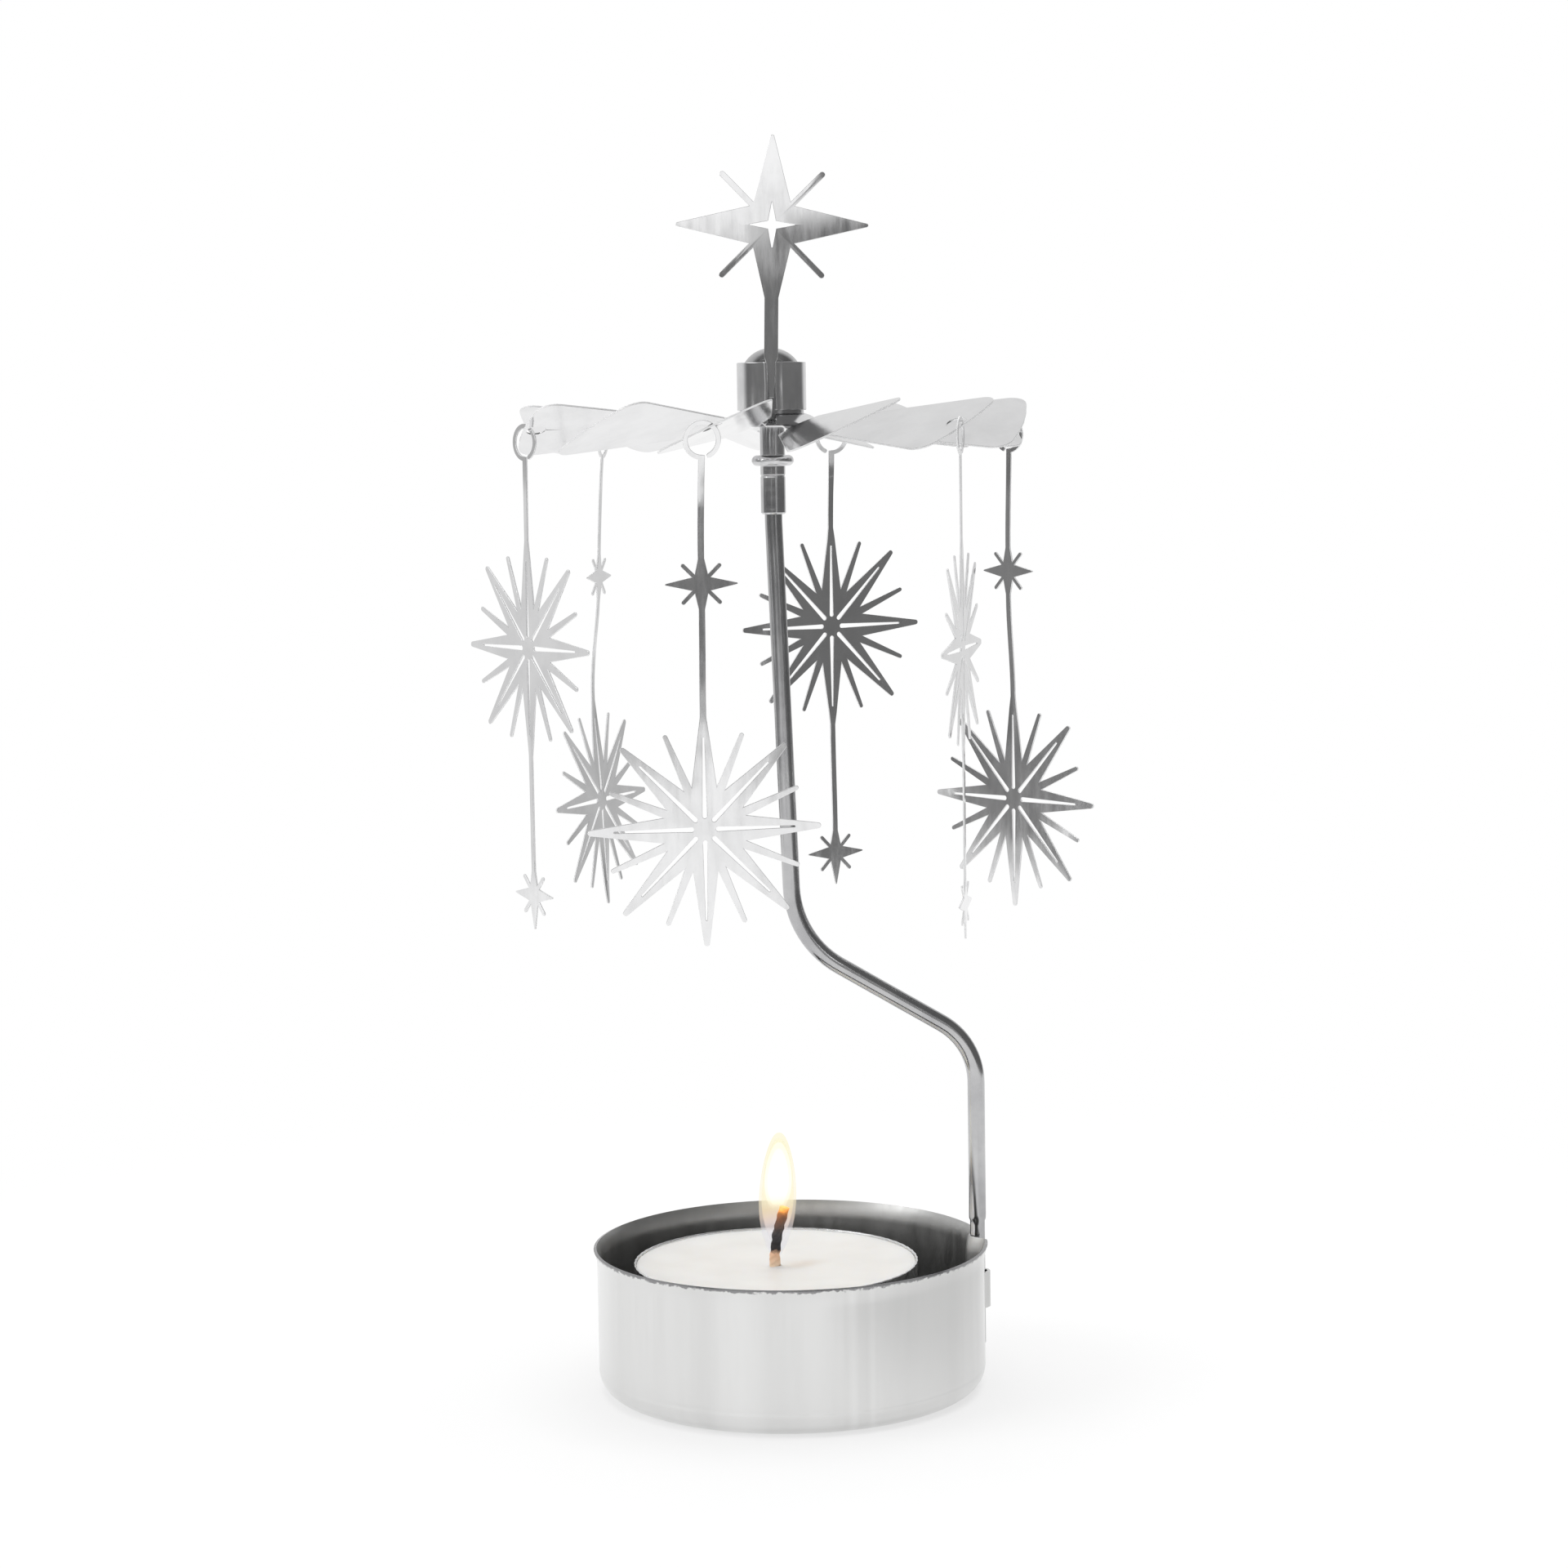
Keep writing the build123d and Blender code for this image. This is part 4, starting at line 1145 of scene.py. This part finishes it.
def makeTopper(spec):
    bm = bmesh.new()
    half = spec["stripHalf"]
    plain = halfRay(spec["ray"], spec["bar"], spec["window"])
    upper = halfRay(spec["topRay"], spec["bar"], spec["window"])
    joined = halfRay(spec["ray"], spec["bar"], spec["window"], half)
    addStar(bm, spec["rise"], [plain, upper, plain, joined], spec["cuts"])
    foot = spec["rise"] - joinPlace(spec["ray"], half)
    tangTop, tangEnd, length = spec["tangTop"], spec["tangEnd"], spec["tangLength"]
    rows = [(foot * share, half) for share in spec["stripRows"]] + [(0, half * spec["stripFoot"])]
    rows += [(-spec["tangStart"], tangTop), (-length / 2, (tangTop + tangEnd) / 2), (-length, tangEnd)]
    addStrip(bm, [(side, 0, foot) for side in (-half, 0, half)], rows)
    closeSeams(bm)
    lean = radians(spec["lean"])
    bend = spec["rayBend"]
    for vert in bm.verts:
        fromStar = Vector((vert.co.x, 0, vert.co.z - spec["rise"]))
        across, rise = fromStar.x, fromStar.z
        if fromStar.length > bend["start"] and vert.co.z > spec["rise"] - spec["bendBelow"]:
            vert.co.y += rayLean(fromStar, bend, spec["raySeed"])
            onBar = abs(abs(across) - abs(rise)) < spec["barHalf"] and fromStar.length > spec["barFrom"]
            if onBar and not (across < 0 < rise):
                start = spec["barFrom"] if across > 0 > rise else 0.0
                vert.co.y += spec["barTwist"] * ((across - rise) / sqrt(2) - start)
        if vert.co.z > 0:
            across, rise = vert.co.x, vert.co.z
            vert.co.y += spec["backBend"] * max(0, rise - spec["bendFrom"]) ** 2
            vert.co.y += spec["sideBend"] * across ** 2
            vert.co.x = across * cos(lean) + rise * sin(lean)
            vert.co.z = rise * cos(lean) - across * sin(lean)
    moveAll(bm, spec["place"])
    finishPiece(bm, "topStar", "topper", metals["starPlate"], ["star_topper"],
                sheet=spec["sheet"], rim=metals["cutEdge"], edge=0.05, sharp=50)


makeTopper(topperSpec)
print("top star made")

# tealight: foil cup, wax, cord wick
cupSpec = {
    "middle": (-2.0, 1.0),
    "foot": 0.4,
    "height": 16.4,
    "radius": 19.0,
    "taper": 0.5,
    "sheet": 0.16,
    "bead": 0.14,
    "footCurve": ((0.8, 0), (0.2, 0.2)),        # inward and up from the foot's edge
    "wallRows": (0.9, 4, 8, 12, 15),            # up from the foot
    "insideRows": (15.6, 14.8, 8, 1),
    "floorEdge": 1.0,
    "crimps": 64,
    "crimpDepth": 0.05,
    "crimpBand": (-1.6, -0.4),                  # from the top
    "steps": 192,
}


def makeCup(spec):
    low = spec["foot"]
    top = low + spec["height"]
    foot = spec["radius"] - spec["taper"]
    sheet = spec["sheet"]
    bead = spec["bead"]

    def wall(rise):
        return foot + spec["taper"] * rise / spec["height"]

    profile = [(0, low)] + [(foot - inward, low + rise) for inward, rise in spec["footCurve"]]
    profile += [(wall(rise), low + rise) for rise in spec["wallRows"]]
    profile += arcPoints((spec["radius"] - sheet / 2, top - bead), bead, -60, 180, 10)
    profile += [(wall(rise) - sheet, low + rise) for rise in spec["insideRows"]]
    profile += [(foot - spec["floorEdge"], low + sheet), (0, low + sheet)]
    bm = turned(profile, (0, 0), spec["steps"])
    bandLow, bandHigh = spec["crimpBand"]
    for vert in bm.verts:
        near = easeStep(top + bandLow, top + bandHigh, vert.co.z)
        if near > 0:
            crimp = sin(atan2(vert.co.y, vert.co.x) * spec["crimps"]) - 1
            vert.co += outwardAt(vert.co) * near * spec["crimpDepth"] * crimp
    moveAll(bm, (*spec["middle"], 0))
    finishPiece(bm, "foilCup", "candle", metals["cupFoil"], ["tealight_cup"], sharp=45)


makeCup(cupSpec)

waxSpec = {
    "middle": (-2.0, 1.0),
    "foot": 0.7,
    "top": 16.55,
    "footRadius": 18.2,
    "topRadius": 18.78,
    "clipRoom": (6, 3),           # radius and height of the hollow for the wick's clip
    "rim": [(0, 0.3), (0.12, 0.02), (0.5, 0), (1.2, 0.1), (2.4, 0.32),      # inward and down from the rim
            (5, 0.5), (9, 0.58), (13, 0.64)],
    "hollow": 1.0,
    "pool": [(3.0, 0), (1.8, 0.06), (1.1, 0.22)],      # radius, rise from the hollow's floor
    "wickRadius": 0.72,
    "wickRise": 0.5,
    "swell": 0.14,
    "swellScale": 0.16,
    "steps": 96,
    "tint": (0.88, 0.865, 0.835),
    "meltTint": (0.84, 0.82, 0.785),
    "cloud": (130, 4),                                 # noise scale per metre and detail
    "cloudLevels": (0.3, 0.62),
    "pits": (420, 3),
    "pitDepth": 3e-5,
    "rough": (0.30, 0.48),
    "gloss": 0.4,
    "brownPatch": (0.66, 0.53, 0.40),
    "brownPatchShare": 0.34,
    "brownPatchPlace": (0.0014, 0.0028, 0.0158),            # metres
    "brownPatchScale": (210, 380, 60),
    "brownPatchTurn": -36,
    "depthShare": 0.35,                                # share of the light that goes into the wax
    "depthRadius": (1.0, 0.85, 0.65),
    "depthScale": 0.003,
}


def makeWaxMaterial(spec):
    made, tree, shader = newMaterial("candleWax")
    place = addCoords(tree)
    cloud = addNoise(tree, place, *spec["cloud"])
    tint = addRamp(tree, cloud, zip(spec["cloudLevels"], (spec["meltTint"], spec["tint"])))
    # a faint brown patch beside the wick, fading out from its middle
    brownPatch = addMapping(tree, place, Location=-Vector(spec["brownPatchPlace"]))
    turn = (0, 0, radians(spec["brownPatchTurn"]))
    brownPatch = addMapping(tree, brownPatch, Scale=spec["brownPatchScale"], Rotation=turn)
    fade = addFade(tree, addVector(tree, "LENGTH", "Value", brownPatch), 0.0, 1.0, spec["brownPatchShare"], 0.0)
    pits = addNoise(tree, place, *spec["pits"])
    feed(tree, shader, {
        "Base Color": addTint(tree, fade, tint, spec["brownPatch"]),
        "Roughness": addRange(tree, pits, 0, 1, *spec["rough"]),
        "Normal": addBump(tree, pits, spec["pitDepth"]),
        "Specular IOR Level": spec["gloss"],
        "Subsurface Weight": spec["depthShare"],
        "Subsurface Radius": spec["depthRadius"],
        "Subsurface Scale": spec["depthScale"],
    })
    return made


def makeWax(spec):
    rim, top, foot, wick = spec["topRadius"], spec["top"], spec["foot"], spec["wickRadius"]
    floor = top - spec["hollow"]
    clipRadius, clipHeight = spec["clipRoom"]
    clipTop = foot + clipHeight
    profile = [(wick, clipTop), (clipRadius, clipTop), (clipRadius, foot), (spec["footRadius"], foot)]
    profile += [(rim - inward, top - down) for inward, down in spec["rim"]]
    profile += [(radius, floor + rise) for radius, rise in spec["pool"]]
    profile += [(wick, floor + spec["wickRise"]), (wick, clipTop)]
    bm = turned(profile, (0, 0), spec["steps"])
    for vert in bm.verts:
        if vert.co.z > floor and 1.0 < vert.co.xy.length < rim - 0.4:
            place = Vector((*(vert.co.xy * spec["swellScale"]), 2.0))
            vert.co.z += noise.noise(place) * spec["swell"]
    moveAll(bm, (*spec["middle"], 0))
    finishPiece(bm, "waxFill", "candle", makeWaxMaterial(spec), ["tealight_wax"], sharp=50)


makeWax(waxSpec)

wickSpec = {
    "middle": (-2.0, 1.0),
    "route": [(0, 1.1), (-0.2, 17.0), (0.3, 20.6), (0.9, 22.6), (1.25, 23.95)],      # sideways, height
    "bends": [6.0, 6.0, 3.0],
    "bendSteps": 8,
    "radius": 0.66,
    "sides": 20,
    "plyRows": [17 + step / 2 for step in range(14)],
    "plyFrom": 15.5,
    "sway": [(17, 20.6, 0.5), (20.6, 23.95, 0.95)],      # the middle moves sideways between these heights
    "plies": 3,
    "plyTurn": 1.5,
    "plyDepth": 0.09,
    "fray": 0.12,
    "frayScale": 1.9,
    "thickFoot": 0.22,
    "thickUntil": 18.0,
    "heights": [(15.6, (0.93, 0.74, 0.55)), (17.7, (0.86, 0.52, 0.33)), (18.2, (0.012, 0.008, 0.006)),
                (20.6, (0.012, 0.008, 0.006)), (21.8, (0.10, 0.03, 0.01)), (22.9, (0.30, 0.09, 0.02)),
                (23.9, (0.95, 0.36, 0.05))],             # colours up the wick
    "colourFray": 0.6,
    "speckle": (1500, 3),                                # noise scale per metre and detail
    "strands": {"Scale": 420, "Distortion": 1.5, "Detail": 2, "Detail Scale": 2},
    "strandTurn": 32,
    "strandDepth": 0.00012,
    "roughness": 0.85,
    "ember": (22.4, 23.9),
    "emberLight": 0.8,
}


def makeWickMaterial(spec):
    made, tree, shader = newMaterial("wickCord")
    place = addCoords(tree)
    level = addFrayedHeight(tree, place, spec["speckle"], spec["colourFray"] * mm)
    low, high = spec["heights"][0][0], spec["heights"][-1][0]
    stops = [((height - low) / (high - low), colour) for height, colour in spec["heights"]]
    burnt = addRamp(tree, addRange(tree, level, low * mm, high * mm), stops)
    emberLow, emberHigh = spec["ember"]
    twist = addMapping(tree, place, Rotation=(0, radians(spec["strandTurn"]), 0))
    strands = addNode(tree, "TexWave", {"Vector": twist, **spec["strands"]}, bands_direction="Z")
    feed(tree, shader, {
        "Base Color": burnt,
        "Emission Color": burnt,
        "Emission Strength": addRange(tree, level, emberLow * mm, emberHigh * mm, 0, spec["emberLight"]),
        "Normal": addBump(tree, strands.outputs["Fac"], spec["strandDepth"]),
        "Roughness": spec["roughness"],
    })
    return made


def makeWick(spec):
    base = Vector((*spec["middle"], 0))
    route = [base + Vector((across, 0, height)) for across, height in spec["route"]]
    bm = bentRod(route, spec["bends"], spec["radius"], spec["sides"], spec["bendSteps"])
    # three plies wound round each other
    addRows(bm, (0, 0, 1), spec["plyRows"])
    for vert in bm.verts:
        height = vert.co.z
        if height > spec["plyFrom"]:
            moves = [move * easeStep(low, high, height) for low, high, move in spec["sway"]]
            centre = base + Vector((spec["route"][1][0] + sum(moves), 0, height))
            away = vert.co - centre
            turn = atan2(away.y, away.x) + height * spec["plyTurn"]
            grow = 1 + spec["plyDepth"] * cos(spec["plies"] * turn)
            grow += spec["fray"] * noise.noise(vert.co * spec["frayScale"])
            grow *= 1 + spec["thickFoot"] * (1 - easeStep(spec["plyFrom"], spec["thickUntil"], height))
            vert.co = centre + away * grow
    finishPiece(bm, "wickPlies", "candle", makeWickMaterial(spec), ["tealight_wick"], sharp=60)


makeWick(wickSpec)
print("tealight made")

# candle flame: thin glowing shells inside each other, clear in front of the wick
flameSpec = {
    "foot": (-2.05, 1.0, 17.2),
    "lean": 0.75,
    "leanEase": 0.3,            # how much of the lean is taken up low down
    "height": 16.9,
    "steps": 40,
    "outline": [                # share of the height, radius
        (0.0, 0.0), (0.005, 0.55), (0.05, 1.05), (0.12, 1.55), (0.24, 2.2), (0.37, 2.52), (0.51, 2.54),
        (0.65, 2.34), (0.78, 1.94), (0.88, 1.46), (0.94, 1.05), (0.975, 0.72), (0.993, 0.38), (1.0, 0.0),
    ],
    "clear": (0.38, 0.52),      # the front is clear below the first of these shares of the height
    "clearLevel": 0.06,
    "clearDepth": (-0.4, 0.6),  # front and back of the wick
    "shells": [                 # colours and opacity go up the flame, as shares of its height
        {"name": "flameVeil", "width": 1.0, "from": 0.0, "to": 1.0, "light": 1.0,
         "colours": [(0.0, (0.66, 0.68, 0.80)), (0.2, (0.74, 0.72, 0.78)), (0.3, (0.95, 0.78, 0.66)),
                     (0.42, (1.0, 0.88, 0.62)), (1.0, (0.98, 0.92, 0.56))],
         "opacity": [(0.0, 0.34), (0.2, 0.36), (0.3, 0.52), (0.42, 0.40), (0.6, 0.26), (0.9, 0.40),
                     (1.0, 0.30)]},
        {"name": "flameGlow", "width": 0.86, "from": 0.10, "to": 0.955, "light": 1.0,
         "colours": [(0.16, (0.76, 0.74, 0.80)), (0.28, (0.98, 0.80, 0.70)), (0.36, (1.0, 0.80, 0.50)),
                     (0.48, (1.0, 0.95, 0.70)), (0.95, (1.0, 0.97, 0.74))],
         "opacity": [(0.12, 0.2), (0.26, 0.6), (0.4, 0.5), (0.6, 0.35), (0.92, 0.4)]},
        {"name": "flameHeart", "width": 0.72, "from": 0.34, "to": 0.92, "light": 1.5,
         "colours": [(0.36, (1.0, 0.90, 0.66)), (0.5, (1.0, 1.0, 0.94)), (0.9, (1.0, 1.0, 0.92))],
         "opacity": [(0.36, 0.0), (0.5, 0.45), (0.88, 0.5)]},
        {"name": "flameCore", "width": 0.56, "from": 0.38, "to": 0.87, "light": 2.0,
         "colours": [(0.4, (1.0, 0.96, 0.80)), (0.52, (1.0, 1.0, 0.98)), (0.86, (1.0, 1.0, 0.96))],
         "opacity": [(0.4, 0.0), (0.52, 0.6), (0.84, 0.6)]},
    ],
}


def makeFlameMaterial(spec, shell):
    made, tree, shader = newMaterial(shell["name"])
    split = addSplit(tree, addCoords(tree))
    across, depth, low = spec["foot"]
    front, back = spec["clearDepth"]
    share = addRange(tree, split["Z"], low * mm, (low + spec["height"]) * mm)
    seen = addRamp(tree, share, [(place, (level, level, level)) for place, level in shell["opacity"]])
    behind = addRange(tree, split["Y"], (depth + front) * mm, (depth + back) * mm, spec["clearLevel"], 1)
    kept = addMix(tree, addFade(tree, share, *spec["clear"]), behind, 1.0)
    feed(tree, shader, {
        "Emission Color": addRamp(tree, share, shell["colours"]),
        "Emission Strength": shell["light"],
        "Base Color": (0, 0, 0, 1),
        "Specular IOR Level": 0.0,
        "Alpha": addMath(tree, "MULTIPLY", seen, kept),
    })
    return made


def makeFlame(spec):
    foot = Vector(spec["foot"])
    height = spec["height"]
    ease = spec["leanEase"]
    for shell in spec["shells"]:
        start, stop = shell["from"], shell["to"]
        profile = [(radius * shell["width"], (start + (stop - start) * share) * height)
                   for share, radius in spec["outline"]]
        bm = turned(profile, (0, 0), spec["steps"])
        for vert in bm.verts:
            share = vert.co.z / height
            vert.co += foot + Vector((spec["lean"] * share * (1 + ease - ease * share), 0, 0))
        material = makeFlameMaterial(spec, shell)
        piece = finishPiece(bm, shell["name"], "candle", material, sharp=60, levels=1)
        piece.visible_shadow = False


makeFlame(flameSpec)
print("flame made")

# CAD pieces that keep their own shape
for name, metal in (("pivot_needle", "turnedPlate"), ("wick_clip", "clipTin")):
    nodes[name].data.materials.clear()
    nodes[name].data.materials.append(metals[metal])
